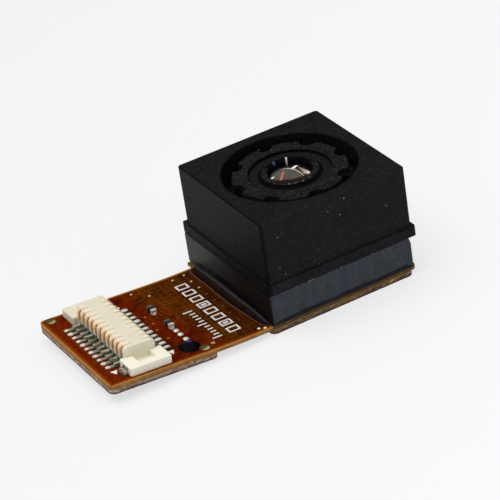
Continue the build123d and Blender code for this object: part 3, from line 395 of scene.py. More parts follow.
def film_margins(tree, x, y, fine, base):
    """The film's colour with painted shadow beside the plug's leads, orange and pale margins, and duller ones
    round the head."""
    # painted shadow on the film between the leads, beside both rows of the plug
    along_row = y.between(TAIL_MID_Y - 2.72, TAIL_MID_Y + 2.72, 0.04)
    strips = tree.math("MAXIMUM", x.between(PLUG_X + 0.9, PLUG_X + 1.95, 0.06),
                       x.between(PLUG_X - 1.62, PLUG_X - 0.9, 0.06))
    base = (strips * along_row * 0.85).mix(base, (0.010, 0.0085, 0.0105))
    inland = tree.math("MINIMUM", y - BOARD_NEAR_Y, x - TAIL_TIP) + (fine - 0.5) * 0.12
    base = (inland.step(0.36, 0.06) * 0.70).mix(base, (0.32, 0.062, 0.0040))
    base = inland.step(0.15, 0.03).mix(base, (0.42, 0.20, 0.050))
    far_edge = y.step(TAIL_FAR_Y - 0.20, TAIL_FAR_Y - 0.04) * x.step(BEND_START + 0.15, BEND_START - 0.05)
    base = far_edge.mix(base, (0.38, 0.165, 0.010))
    base = x.step(BEND_START - 0.05, BEND_START + 0.15).mix(base, (0.085, 0.050, 0.018))
    base = y.step(TAIL_FAR_Y + 0.01, TAIL_FAR_Y + 0.07).mix(base, (0.095, 0.075, 0.022))
    return x.step(BOARD_END_X - 0.3, BOARD_END_X - 0.05).mix(base, (0.24, 0.155, 0.030))


def laid_film(tree):
    """Brown film over copper: red by the plug, a golden-brown net of cells by the head, orange margins."""
    x, y, _ = tree.place()
    warp = tree.noise(0.45, 2.0)
    cloud = tree.noise(1.1, 3.0, 0.6)
    fine = tree.noise(3.5, 2.0, 0.6)
    headward = (x + 0.20 * y + warp * 1.2).step(*NET_START)
    net = tree.cells(2.4, 0.55).step(0.115, 0.02)
    cell = cloud.step(0.3, 0.7).mix((0.038, 0.0085, 0.0006), (0.098, 0.0230, 0.0010))
    red = cloud.step(0.3, 0.7).mix((0.054, 0.0044, 0.0004), (0.128, 0.0115, 0.0008))
    base = headward.mix(red, cell)
    base = (net * headward * (fine * 0.8 + 0.10)).mix(base, (0.190, 0.056, 0.0060))
    run = y + (x * 0.9).sine() * 0.35 + warp * 2.4
    fan = run.lines(0.31, 0.07, 0.04) * x.between(*FAN_LINES, 0.4) * fine.step(0.42, 0.62)
    base = (fan * 0.55).mix(base, (0.21, 0.040, 0.0036))
    radius = (x - ARC_CENTRE[0]).away_from(y - ARC_CENTRE[1]) + warp * 0.5
    arcs = radius.lines(0.34, 0.07, 0.03) * radius.step(1.5, 1.1) * fine.step(0.40, 0.60)
    base = (arcs * 0.6).mix(base, (0.23, 0.048, 0.004))
    # painted shade over the film just before the head
    shade = (x + warp * 0.3).step(*HEAD_SHADE)
    base = (shade * 0.45).mix(base, (0.012, 0.0040, 0.0006))
    tipward = x.step(*TIP_RED)
    base = tipward.mix(base, fine.step(0.3, 0.7).mix((0.092, 0.0088, 0.0008), (0.170, 0.0185, 0.0012)))
    base = (copper_spots(tree, x, y) * 0.8).mix(base, (0.46, 0.115, 0.008))
    base = film_margins(tree, x, y, fine, base)
    relief = net * headward + fan * 0.8 + arcs * 0.6 + cloud * 0.6
    return finish(base, 0.38, 0.0, Normal=relief.bump(0.010))


def film_edge(tree):
    """Amber edge of the board's core, striped in thin layers, olive-brown under the head."""
    x, _, _ = tree.place()
    streak = tree.noise(2.5, 3.0, 0.6, (1.0, 1.0, 6.0)).step(0.3, 0.7)
    tail = streak.mix((0.20, 0.080, 0.016), (0.44, 0.225, 0.060))
    head = streak.mix((0.050, 0.034, 0.016), (0.130, 0.082, 0.030))
    base = x.step(BEND_START - 0.2, BEND_START + 0.2).mix(tail, head)
    base = x.step(BOARD_END_X - 0.5, BOARD_END_X - 0.05).mix(base, (0.26, 0.165, 0.035))
    return finish(base, 0.5, 0.08)


def ivory(tree):
    """Warm white nylon, a little translucent, whiter at its near end."""
    _, y, _ = tree.place()
    cloud = tree.noise(1.0, 3.0, 0.6)
    base = cloud.mix((0.71, 0.645, 0.485), (0.81, 0.77, 0.605))
    base = y.step(-3.0, -3.6).mix(base, (0.91, 0.87, 0.72))
    depth = {"Subsurface Weight": 0.12, "Subsurface Radius": (0.0006, 0.0004, 0.0003)}
    return finish(base, 0.38, 0.4, Normal=tree.noise(8.0, 2.0).bump(0.002), **depth)


def plated_contact(tree):
    """Copper-orange plating on upright legs with painted shade on one side, pale on the crown, dull
    grey-olive solder on leads.
    height is the height over the board's top, square to the raised tail."""
    x, y, z = tree.place()
    over = z * math.cos(TAIL_RISE) + x * math.sin(TAIL_RISE)
    board = BOARD_TOP * math.cos(TAIL_RISE) + BEND_START * math.sin(TAIL_RISE)
    height = over - board + BEND_R * (math.cos(TAIL_RISE) - 1)
    smear = tree.noise(5.0, 3.0, 0.6)
    streak = tree.noise(4.0, 2.0, 0.6, (0.35, 1.6, 1.0)).step(0.35, 0.65)
    lead = streak.mix((0.125, 0.120, 0.080), (0.56, 0.54, 0.41))
    # painted shade on the half of each upright leg towards -y
    side = tree.math("WRAP", y - TAIL_MID_Y, 0.25, -0.25)
    half_shaded_leg = side.step(-0.06, 0.0).mix((0.34, 0.125, 0.022), smear.mix((0.70, 0.29, 0.060), (0.98, 0.52, 0.15)))
    base = height.step(0.20, 0.34).mix(lead, half_shaded_leg)
    base = height.step(0.76, 0.92).mix(base, (0.88, 0.80, 0.62))
    return finish(base, 0.45, 0.3, Metallic=height.step(0.90, 0.75) * 0.25)


def bright_solder(tree):
    """Tin, bright, creamy and slightly lumpy."""
    lump = tree.noise(6.0, 2.0)
    base = lump.mix((0.50, 0.49, 0.39), (0.86, 0.85, 0.74))
    return finish(base, 0.30, Metallic=0.25, Normal=lump.bump(0.012))


def cut_laminate(tree):
    """Glass laminate: cut edge of olive-brown resin with pale glass flecks, orange stains and painted mauve
    contact shadow at its foot, and a plain faintly woven face where low is past 1."""
    x, y, _ = tree.place()
    long_streak = tree.noise(1.3, 4.0, 0.65, (1.0, 1.0, 4.0)).step(0.3, 0.7)
    fleck = tree.noise(5.5, 3.0, 0.7, (0.6, 0.6, 1.4)).step(0.53, 0.66)
    stain = tree.noise(0.7, 2.0).step(0.5, 0.68)
    tail = x.step(-7.6, -8.3)
    head = long_streak.mix((0.060, 0.042, 0.018), (0.165, 0.120, 0.055))
    head = stain.mix(head, (0.26, 0.110, 0.030))
    pale = long_streak.mix((0.145, 0.086, 0.066), (0.40, 0.30, 0.205))
    pale = (stain * 0.5).mix(pale, (0.42, 0.20, 0.060))
    base = tail.mix(head, pale)
    base = (fleck * 0.75).mix(base, tail.mix((0.46, 0.40, 0.26), (0.72, 0.67, 0.54)))
    # painted mauve contact shadow along the foot of the cut edge
    low = tree.attribute("low")
    base = (low.step(0.0, 1.0) * 0.85).mix(base, (0.085, 0.036, 0.046))
    weave = tree.math("MAXIMUM", x.lines(0.32, 0.10, 0.08), y.lines(0.32, 0.10, 0.08)) * 0.5
    face = weave.mix((0.135, 0.105, 0.048), (0.185, 0.150, 0.075))
    base = low.step(1.3, 1.7).mix(base, face)
    return finish(base, 0.6, 0.10, Normal=long_streak.bump(0.03))


def poured_glue(tree):
    """Black epoxy with a painted blue-grey sheen halfway down its slope, brown where it runs out over the
    film, and a painted pinkish highlight along its rim.
    """
    down = tree.attribute("down") + (tree.noise(1.2, 3.0, 0.7) - 0.5) * 0.06
    cloud = tree.noise(2.5, 3.0, 0.7).step(0.35, 0.65)
    thin = cloud.mix((0.0050, 0.0023, 0.0014), (0.0180, 0.0068, 0.0038))
    base = down.step(0.20, 0.36).mix(cloud.mix((0.0012, 0.0010, 0.0010), (0.0036, 0.0028, 0.0026)), thin)
    # painted sheen halfway down the slope
    base = down.between(0.205, 0.335, 0.03).mix(base, (0.036, 0.037, 0.042))
    # painted pinkish highlight along the glue's rim
    base = tree.attribute("rim").mix(base, (0.20, 0.100, 0.080))
    return finish(base, 0.3, 0.03)


def foot_glue(tree):
    """Blue-black glue line under the frame."""
    cloud = tree.noise(2.0, 3.0, 0.6)
    return finish(cloud.mix((0.0070, 0.0080, 0.0110), (0.0200, 0.0225, 0.0290)), 0.5, 0.06)


def lens_painted_reflections(tree):
    """Dark coated front lens with painted reflections: grey-green inside, a thin pale arc beyond it, a cream
    wedge at its far right, a white flash, a red streak, a dark red lower edge, painted shadow of the lip
    under that, and a pale highlight spot at its left and its right."""
    x, y, _ = tree.place()
    across, away = view_axes(x, y)
    cloud = tree.noise(2.5, 2.0)
    # painted reflections across the lens
    inner = cloud.mix((0.055, 0.057, 0.048), (0.098, 0.098, 0.080))
    arch = 0.50 - 0.80 * (across + 0.40).squared()
    past = away - arch
    pale_arc_reflection = across.step(-0.80, 0.15).mix((0.065, 0.044, 0.040), (0.58, 0.54, 0.45))
    outside = past.between(0.17, 0.27, 0.04).mix((0.014, 0.009, 0.009), (0.085, 0.036, 0.024))
    base = past.step(-0.01, 0.03).mix(inner, pale_arc_reflection)
    base = past.step(0.08, 0.15).mix(base, outside)
    wedge = (across + 0.296 * away).step(0.64, 0.68) * (away + 0.97 * across).step(1.13, 1.08)
    wedge = wedge * away.step(-0.30, -0.22)
    base = wedge.mix(base, across.step(0.65, 1.05).mix((0.24, 0.22, 0.145), (0.56, 0.53, 0.38)))
    # painted dark red reflection inside the arc's right end
    dark_red_reflection = past.between(-0.13, 0.0, 0.03) * across.step(0.30, 0.45)
    base = dark_red_reflection.mix(base, (0.12, 0.022, 0.010))
    # along the lower edge: a painted dark red reflection, then the lip's painted shadow
    right_rise = 0.25 * tree.math("MAXIMUM", across - 0.2, 0.0)
    foot = away + 0.77 - 0.28 * (across - 0.1).squared() - right_rise
    base = foot.step(0.11, 0.06).mix(base, (0.080, 0.016, 0.010))
    base = foot.step(0.02, -0.02).mix(base, (0.004, 0.003, 0.003))
    # painted red streak of reflection
    streak = (across + 0.40 - away * 0.283).between(-0.065, 0.065, 0.03) * away.between(-0.62, 0.14, 0.03)
    base = (streak * 0.85).mix(base, (0.60, 0.15, 0.085))
    # painted white highlight
    flash = (across + 0.015 - away * 0.5).between(-0.10, 0.10, 0.03) * away.between(0.36, 0.88, 0.04)
    base = flash.mix(base, (1.0, 0.93, 0.80))
    # painted highlight spots at the left and right
    left = (across + 1.03).squared() + (away + 0.12).squared() * 2.5
    base = left.step(0.020, 0.006).mix(base, (0.98, 0.94, 0.92))
    right = (across - 1.01).squared() + (away + 0.04).squared()
    base = right.step(0.008, 0.002).mix(base, (0.95, 0.92, 0.80))
    return finish(base, 0.12, 0.08)


def ink(tree):
    """Blue-black ink with a violet glint on its far side."""
    x, y, _ = tree.place()
    lump = tree.noise(3.0, 2.0)
    glint = ((x - (INK_X + 0.22)).squared() + (y - (INK_Y + 0.42)).squared()).step(0.030, 0.004)
    base = lump.mix((0.0010, 0.0008, 0.0016), (0.0040, 0.0022, 0.0050))
    return finish((glint * 0.8).mix(base, (0.10, 0.055, 0.50)), 0.3, 0.02, Normal=lump.bump(0.02))


def fiducial(tree):
    """Olive-gold round marks, darker on their far side, ringed by dark film."""
    x, y, _ = tree.place()
    base = None
    for mx, my in FIDUCIALS:
        dx = x - mx
        dy = y - my
        disc = dx.away_from(dy).step(0.275, 0.235)
        gold = (dy - dx * 0.4).step(0.10, -0.22).mix((0.070, 0.056, 0.020), (0.44, 0.34, 0.115))
        ring = disc.mix((0.075, 0.0150, 0.0016), gold)
        base = ring if base is None else x.step(-12.0, -11.0).mix(ring, base)
    return finish(base, 0.5, 0.1)


def test_pad(tree):
    """Bare pads: bright by the head, dull olive-gold on the tail."""
    x, _, _ = tree.place()
    base = x.step(-6.8, -6.2).mix((0.34, 0.26, 0.10), (0.86, 0.80, 0.62))
    return finish(base, 0.5, 0.1)


def via_tone(tree):
    """Vias: the farthest ones bright with a painted highlight, the others dull and reddish."""
    _, y, _ = tree.place()
    # painted highlight on the farthest vias
    base = y.step(1.2, 2.0).mix((0.17, 0.055, 0.025), (0.66, 0.52, 0.46))
    return finish(base, 0.5, 0.1)


def chip_tin(tree):
    """Chip ends: bright with a painted highlight on the near side, dull olive with painted shade on the far
    side.
    """
    _, y, _ = tree.place()
    # painted shade on the far ends of both chips; the near ends keep a painted highlight
    far = (y - CHIPS[0][1]).between(0.05, 0.60, 0.03)
    far = tree.math("MAXIMUM", far, (y - CHIPS[1][1]).between(0.05, 0.60, 0.03))
    lump = tree.noise(6.0, 2.0)
    bright = lump.mix((0.36, 0.36, 0.29), (0.80, 0.79, 0.70))
    base = far.mix(bright, (0.085, 0.095, 0.070))
    return finish(base, 0.35, 0.3, Metallic=0.2, Normal=lump.bump(0.012))


def tab_metal(tree):
    """Dull tin on the plug's hold-down tabs, mottled olive."""
    blotch = tree.noise(5.0, 3.0, 0.7).step(0.4, 0.62)
    return finish(blotch.mix((0.055, 0.050, 0.030), (0.50, 0.49, 0.37)), 0.45, 0.2)


MATERIALS = {name: surface(name, build) for name, build in {
    "housing_plastic": moulded_black,
    "barrel_plastic": barrel_black,
    "frame_plastic": frame_grey,
    "coverlay": laid_film,
    "flex_core": film_edge,
    "plug_plastic": ivory,
    "contact_metal": plated_contact,
    "solder": bright_solder,
    "stiffener": cut_laminate,
    "epoxy": poured_glue,
    "lens_glass": lens_painted_reflections,
    "black_ink": ink,
    "foot_glue": foot_glue,
    "fiducial": fiducial,
    "via_tone_and_highlight": via_tone,
    "chip_tin": chip_tin,
    "tab_metal": tab_metal,
    "bond_film": plain((0.30, 0.150, 0.045), 0.5, 0.0, 0.1),
    "under_film": plain((0.150, 0.048, 0.010), 0.4, 0.0, 0.2),
    "dark_glue": plain((0.010, 0.010, 0.011), 0.4, 0.0, 0.3),
    "spacer_film": plain((0.012, 0.012, 0.012), 0.7, 0.0, 0.2),
    "inner_glass": plain((0.10, 0.13, 0.14), 0.05, 0.0, 0.5),
    "filter_glass": plain((0.20, 0.34, 0.36), 0.05, 0.0, 0.5),
    "silicon": plain((0.10, 0.10, 0.12), 0.25, 0.4),
    "sensor_face": plain((0.06, 0.10, 0.09), 0.15, 0.6),
    "gold": plain((0.80, 0.60, 0.28), 0.35, 0.9),
    "test_pad": test_pad,
    "chip_ceramic": plain((0.0045, 0.0060, 0.0065), 0.35, 0.0, 0.2),
    "tinned_metal": plain((0.72, 0.71, 0.66), 0.32, 0.5),
    "pad_tin": plain((0.25, 0.24, 0.165), 0.5, 0.1, 0.1),
    "white_print": plain((0.86, 0.85, 0.82), 0.55, 0.0, 0.3),
    "glue_dot": plain((0.0022, 0.0022, 0.0024), 0.6, 0.0, 0.02),
    "dust": plain((0.40, 0.39, 0.31), 0.8, 0.0, 0.1),
}.items()}

DRESS = {
    "head_stiffener": "stiffener", "plug_stiffener": "stiffener",
    "head_stiffener_adhesive": "bond_film", "plug_stiffener_adhesive": "bond_film",
    "flex_core": "flex_core", "coverlay_top": "coverlay", "coverlay_bottom": "under_film",
    "frame_adhesive": "dark_glue", "lower_frame": "frame_plastic", "foot_epoxy_bead": "epoxy",
    "side_glue": "foot_glue", "housing_adhesive": "dark_glue", "upper_housing": "housing_plastic",
    "lens_barrel": "barrel_plastic", "focus_lock_glue": "glue_dot", "lens_1": "lens_glass",
    "spacer_1": "spacer_film", "lens_2": "inner_glass", "spacer_2": "spacer_film",
    "lens_3": "inner_glass", "lens_retainer": "spacer_film", "infrared_filter": "filter_glass",
    "filter_adhesive": "dark_glue", "die_attach_film": "dark_glue", "image_sensor_die": "silicon",
    "colour_filter_array": "sensor_face", "bond_pads": "gold", "bond_wires": "gold",
    "inner_capacitor_bodies": "chip_ceramic", "inner_capacitor_ends": "tinned_metal",
    "plug_housing": "plug_plastic", "contacts_tip_row": "contact_metal",
    "contacts_head_row": "contact_metal", "solder_pads_tip_row": "pad_tin",
    "solder_pads_head_row": "pad_tin", "hold_down_tabs": "tab_metal",
    "chip_bodies": "chip_ceramic", "chip_ends": "chip_tin", "bare_solder_pads": "solder",
    "ink_dot": "black_ink", "fiducial_marks": "fiducial", "test_pads": "test_pad", "via_caps": "via_tone_and_highlight",
    "printed_marks": "white_print",
}
for node, name in DRESS.items():
    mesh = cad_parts[node].data
    mesh.materials.clear()
    mesh.materials.append(MATERIALS[name])


def on_film(x, y, height):
    """Places over the bent film, from x along the flat board, y across it and a height over its top face.
    It is flat up to the bend's start, then round a circle of radius BEND_R, then straight along its
    tangent, and the height is added square to it."""
    x, y, height = np.broadcast_arrays(np.asarray(x, float), np.asarray(y, float), np.asarray(height, float))
    run = np.clip(BEND_START - x, 0.0, FREE_LENGTH)
    turn = run / BEND_R
    rest = BEND_START - x - run
    along = BEND_START - BEND_R * np.sin(turn) - rest * np.cos(turn)
    up = BOARD_TOP + BEND_R * (1 - np.cos(turn)) + rest * np.sin(turn)
    return np.stack([along + height * np.sin(turn), y, up + height * np.cos(turn)], -1)


def add_mesh(name, solid, material, nodes=(), values=None, smooth=True):
    """Piece from a solid's points in millimetres and its quads, riding on the root body."""
    points, quads = solid
    mesh = bpy.data.meshes.new(name)
    points = (points.reshape(-1, 3) + (AXIS_X, AXIS_Y, 0.0)) * MM
    mesh.vertices.add(len(points))
    mesh.vertices.foreach_set("co", points.astype(np.float32).ravel())
    mesh.loops.add(quads.size)
    mesh.loops.foreach_set("vertex_index", quads.astype(np.int32).ravel())
    mesh.polygons.add(len(quads))
    mesh.polygons.foreach_set("loop_start", np.arange(0, quads.size, 4, dtype=np.int32))
    mesh.update(calc_edges=True)
    for key, value in (values or {}).items():
        layer = mesh.attributes.new(key, "FLOAT", "POINT")
        layer.data.foreach_set("value", np.asarray(value, np.float32).ravel())
    mesh.polygons.foreach_set("use_smooth", np.full(len(quads), smooth))
    mesh.materials.append(MATERIALS[material])
    made = placed(name, mesh)
    if smooth:
        mesh.set_sharp_from_angle(angle=SHARP_TURN)
    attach(made, "root")
    if nodes:
        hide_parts(*nodes)


def grid(down, along):
    """Both parameters at each point of a grid, from their values down its rows and along its columns."""
    return np.meshgrid(down, along, indexing="ij")


def round_steps(count):
    """Angles of that many even steps round a circle."""
    return np.arange(count) * (2 * math.pi / count)


def grid_quads(rows, columns, start=0, around=False):
    """Quads of a grid of points that go along its rows; around joins each row's end to its start."""
    row, column = grid(np.arange(rows - 1), np.arange(columns if around else columns - 1))
    after = (column + 1) % columns
    here = start + row * columns
    below = here + columns
    return np.stack([here + column, below + column, below + after, here + after], -1).reshape(-1, 4)


def closed_pair(top, bottom):
    """Points and quads of a solid between two grids of one shape, with walls between their edges."""
    rows, columns = top.shape[:2]
    count = rows * columns
    index = np.arange(count).reshape(rows, columns)
    loop = np.concatenate([index[0, :-1], index[:-1, -1], index[-1, :0:-1], index[:0:-1, 0]])
    after = np.roll(loop, -1)
    walls = np.stack([loop, after, after + count, loop + count], -1)
    upper = grid_quads(rows, columns)
    lower = grid_quads(rows, columns, count)[:, ::-1]
    return np.concatenate([top.reshape(-1, 3), bottom.reshape(-1, 3)]), np.concatenate([upper, lower, walls])


def cap_quads(count):
    """Quads that close an even ring of points, in strips between its two sides. The strips start in the
    middle of a plate's first corner and end opposite."""
    i = np.arange(count // 2 - 1)
    strips = np.stack([i, i + 1, count - 2 - i, count - 1 - i], -1)
    return (strips + CORNER_STEPS // 2) % count


def capped(rings):
    """Points and quads of a solid from rings of points, anticlockwise from above and in order down its
    outside, with its first and last ring closed."""
    rows, count = rings.shape[:2]
    cap = cap_quads(count)
    quads = [grid_quads(rows, count, 0, True), cap, cap[:, ::-1] + (rows - 1) * count]
    return rings.reshape(-1, 3), np.concatenate(quads)


def many(copies):
    """Points and quads of several solids as one mesh."""
    points, quads, start = [], [], 0
    for p, q in copies:
        points.append(p)
        quads.append(q + start)
        start += len(p)
    return np.concatenate(points), np.concatenate(quads)


def soft_noise(values, *waves):
    """Smooth irregular curve: a sum of sines of the values, each given as (rate, phase, size)."""
    return sum(size * np.sin(values * rate + phase) for rate, phase, size in waves)


def crown(way_out, power):
    """Height of a crowned top from 1 in the middle to 0 at 1: one less a power of the way out, to the 0.6."""
    return np.clip(1 - np.abs(way_out) ** power, 0, 1) ** 0.6


def film_lump(x, y, half_length, half_width, height, power=2.0):
    """Solid lump on the film. In plan, a square from -1 to 1 whose corners are drawn in by the root of one
    less 0.42 of the other way's square. Over it, the height times the crown of each way."""
    u, v = grid(np.linspace(-1, 1, 17), np.linspace(-1, 1, 13))
    draw = 0.42
    px = x + half_length * u * np.sqrt(1 - draw * v * v)
    py = y + half_width * v * np.sqrt(1 - draw * u * u)
    rise = height * crown(u, power) * crown(v, power)
    return closed_pair(on_film(px, py, rise), on_film(px, py, SEAT))


def add_glue_bead():
    """Glue run out at the frame's foot on the tail side. s goes from the frame to the glue's rim: the
    height falls from the crest to a thin apron as the square of what is left of the slope, and the apron to
    its rim as the root of what is left of it. The crest and the reach go straight between places along y,
    with two sines added."""
    overlap = 0.01
    slope_end = 0.60
    apron_t = 0.030
    rim_t = 0.002
    rim_start = 0.955
    s, y = grid(np.linspace(0, 1, 41), np.linspace(BOARD_NEAR_Y + 0.36, TAIL_FAR_Y - 0.10, 181))
    reach = np.interp(y, (-4.5, -4.2, -2.8, -0.9, 1.5, 3.5, 3.9), (0.20, 0.40, 0.54, 0.68, 0.64, 0.66, 0.45))
    reach = reach + soft_noise(y, (3.1, 0.4, 0.010), (7.7, 1.9, 0.006))
    crest = np.interp(y, (-4.5, -3.9, -2.5, 0.0, 2.2, 3.9), (0.16, 0.42, 0.66, 0.72, 0.62, 0.34))
    crest = crest + soft_noise(y, (2.3, 1.0, 0.02), (6.1, 0.2, 0.01))
    slope = np.clip(1 - s / slope_end, 0, 1) ** 2.0
    apron = apron_t * np.clip((1 - s) / (1 - slope_end), 0, 1) ** 0.5 + rim_t
    x = FRAME_TAIL_X + overlap - (reach + overlap) * s
    up = apron + (crest - apron) * slope
    points, quads = closed_pair(on_film(x, y, up), on_film(x, y, SEAT))
    # rim marks the glue's edge, where a pinkish highlight is painted
    rim = np.clip((s - rim_start) / 0.02, 0, 1)
    marks = {"down": np.tile(s.ravel(), 2), "rim": np.tile(rim.ravel(), 2)}
    add_mesh("glue_bead", (points, quads[:, ::-1]), "epoxy", ["foot_epoxy_bead"], marks)


def add_side_glue():
    """Dark glue squeezed out along the frame's near foot. t goes from the frame's face to the foot of the
    glue, and the height falls with it as one less t to the power 1.3. The upper line is level with three
    sines added, and falls off over the last fade at both ends."""
    fade = 0.5
    t, x = grid(np.linspace(0, 1, 9), np.linspace(FRAME_TAIL_X + 0.10, FRAME_END_X - 0.10, 241))
    height = 0.22 + soft_noise(x, (1.9, 0.3, 0.030), (4.7, 2.0, 0.018), (11.0, 0.7, 0.010))
    height = height * np.clip((x - FRAME_TAIL_X) / fade, 0.3, 1) * np.clip((FRAME_END_X - x) / fade, 0.3, 1)
    foot = BOARD_NEAR_Y + 0.012
    y = FRAME_NEAR_Y + (foot - FRAME_NEAR_Y) * t
    z = BOARD_TOP + height * (1 - t) ** 1.3
    outside = np.stack([x, y, z], -1)
    inside = np.stack([x, np.full_like(y, FRAME_NEAR_Y + 0.01), np.full_like(z, BOARD_TOP)], -1)
    add_mesh("side_glue_fillet", closed_pair(outside, inside), "foot_glue", ["side_glue"])


def turned(profile, steps, edge=None):
    """Rings of points about the lens axis from (radius, z, share) corners: circles of each corner's radius,
    plus its share of what the edge's radius at that angle is short of the largest corner's."""
    radius, z, share = np.array(profile, float).T
    angle = round_steps(steps)
    outer = np.full(steps, radius.max()) if edge is None else edge(angle)
    own = radius[:, None] + share[:, None] * (outer[None, :] - radius.max())
    return np.stack([own * np.cos(angle), own * np.sin(angle), np.repeat(z[:, None], steps, 1)], -1)


def notched_edge(angle):
    """Radius of the barrel's rim at an angle: its circle or, inside a notch, the nearer crossing with the
    notch's circle. With c the radius of the notches' centres, r a notch's radius and a the angle from its
    middle, that is c cos a less the root of r squared less the square of c sin a."""
    pitch = 2 * math.pi / NOTCH_COUNT
    off = (angle - NOTCH_PHASE + pitch / 2) % pitch - pitch / 2
    inside = np.clip(NOTCH_R ** 2 - (NOTCH_CENTRE_R * np.sin(off)) ** 2, 0, None)
    cut = np.where(inside > 0, NOTCH_CENTRE_R * np.cos(off) - np.sqrt(inside), RIM_R)
    return np.minimum(RIM_R, cut)


def add_barrel():
    """The barrel as one turned ring: notched rim, ring face, recess, boss, tapered aperture and bore."""
    face = RIM_FACE
    floor = face - RECESS_DEPTH
    edge = EDGE_R
    cut = 0.3 * EDGE_R
    lip = face - LIP_T
    step = lip - 0.77
    foot = face - RIM_T
    rim = [
        (RIM_R, foot, 1), (RIM_R, face - edge, 1), (RIM_R - cut, face - cut, 1), (RIM_R - edge, face, 1),
        (RIM_R - 0.12, face, 1), (RECESS_R + 0.32, face, 0),
    ]
    recess = [
        (RECESS_R + edge, face, 0), (RECESS_R + cut, face - cut, 0), (RECESS_R, face - edge, 0),
        (RECESS_R - 0.02, floor + 0.03, 0), (RECESS_R - 0.06, floor, 0),
    ]
    boss = [
        (BOSS_FOOT_R, floor, 0), (BOSS_FOOT_R - 0.05, floor + 0.03, 0), (BOSS_TOP_R + 0.05, face - edge, 0),
        (BOSS_TOP_R + 0.03, face - cut, 0), (BOSS_TOP_R, face, 0),
    ]
    aperture = [
        (APERTURE_R, face, 0), (APERTURE_R - 0.03, face - 0.01, 0), (APERTURE_R - 0.21, lip + 0.05, 0),
        (APERTURE_R - 0.22, lip, 0),
    ]
    bore = [
        (BORE_FRONT_R, lip, 0), (BORE_FRONT_R, step, 0), (BORE_BACK_R - 0.20, step, 0),
        (BORE_BACK_R, lip - 1.67, 0), (BORE_BACK_R, BARREL_BACK, 0),
    ]
    outside = [(BARREL_R, BARREL_BACK, 0), (BARREL_R, foot - 0.02, 0), (BARREL_R - 0.095, foot, 0)]
    profile = rim + recess + boss + aperture + bore + outside
    points = turned(profile, 960, notched_edge)
    rows, steps = points.shape[:2]
    quads = grid_quads(rows + 1, steps, 0, True)[:, ::-1] % (rows * steps)
    add_mesh("lens_barrel_turned", (points, quads), "barrel_plastic", ["lens_barrel"])


def add_front_lens():
    """Front lens: crowned cap, flat flange and hollow back. Cap and hollow are parts of balls whose radius
    is the sum of the squares of half width and depth over twice the depth. Both have a flat of the pole's
    radius."""
    rise = 0.19
    hollow = 0.08
    pole = 0.004
    optic = 1.10
    thick = 0.55
    flange = BORE_FRONT_R - 0.02
    front = RIM_FACE - LIP_T
    back = front - thick
    ball = (optic ** 2 + rise ** 2) / (2 * rise)
    bowl = (optic ** 2 + hollow ** 2) / (2 * hollow)
    r = np.linspace(pole, optic, 28)
    cap = np.stack([r, front + np.sqrt(ball ** 2 - r ** 2) - (ball - rise), r * 0], -1)
    dish = np.stack([r, back + np.sqrt(bowl ** 2 - r ** 2) - (bowl - hollow), r * 0], -1)
    profile = np.concatenate([cap, [(flange, front, 0), (flange, back, 0)], dish[::-1]])
    add_mesh("front_lens", capped(turned(profile, 180)), "lens_glass", ["lens_1"])


def contact_places():
    """Places of a row's contacts along y, from the far one."""
    first = TAIL_MID_Y + (CONTACT_COUNT - 1) / 2 * CONTACT_PITCH
    return [first - i * CONTACT_PITCH for i in range(CONTACT_COUNT)]


def add_solder_rows():
    """Solder on each pad: one oval mound beyond the lead's toe, its size varied along the row by a sine."""
    width = 0.135
    height = 0.085
    for side, row, length in ((-1, "tip", 0.16), (1, "head", 0.22)):
        x = PLUG_X + side * (PAD_REACH - length)
        lumps = []
        for i, y in enumerate(contact_places()):
            size = 1 + 0.10 * math.sin(2.3 * i + side)
            lumps.append(film_lump(x, y, length * size, width * size, height * size, power=4.0))
        add_mesh(f"solder_mounds_{row}", many(lumps), "solder")


def add_small_solder():
    """Solder wetted up the ends of the two chips, and domes on the three empty pads."""
    chip_end = 0.36
    lumps = [film_lump(x, y + end, 0.13, 0.09, 0.12) for x, y in CHIPS for end in (-chip_end, chip_end)]
    add_mesh("chip_solder", many(lumps), "chip_tin")
    domes = [film_lump(x, y, 0.17, 0.18, 0.085) for x, y in BARE_PADS]
    add_mesh("bare_pad_domes", many(domes), "solder", ["bare_solder_pads"])


def add_ink_drop():
    """Drop of ink: a circle whose radius has three sines of the angle added, with a flat crown over it."""
    pole = 0.003
    height = 0.105
    ring, angle = grid(np.linspace(pole, 1, 17), round_steps(96))
    outline = INK_R * (1 + soft_noise(angle, (3, 0.6, 0.035), (5, 2.1, 0.03), (9, 0.4, 0.015)))
    x = INK_X + ring * outline * np.cos(angle)
    y = INK_Y + ring * outline * np.sin(angle)
    rings = np.concatenate([on_film(x, y, height * crown(ring, 5)), on_film(x, y, SEAT)[::-1]])
    add_mesh("ink_drop", capped(rings), "black_ink", ["ink_dot"])


def add_far_mark():
    """White printed bar beside the plug's far end. Its half width grows evenly and shrinks again over the
    first two lengths of its arrow head, and then stays the same."""
    head = 0.16
    head_out = 0.10
    stem_half = 0.055
    print_t = 0.010
    across, y = grid(np.linspace(-1, 1, 5), np.linspace(PLUG_MARK_FROM, PLUG_MARK_TO, 61))
    half = stem_half + head_out * np.clip(1 - np.abs(y - PLUG_MARK_FROM - head) / head, 0, 1)
    x = PLUG_X + PLUG_MARK_OUT + across * half
    bar = closed_pair(on_film(x, y, print_t), on_film(x, y, SEAT))
    add_mesh("far_bar_print", bar, "white_print", smooth=False)


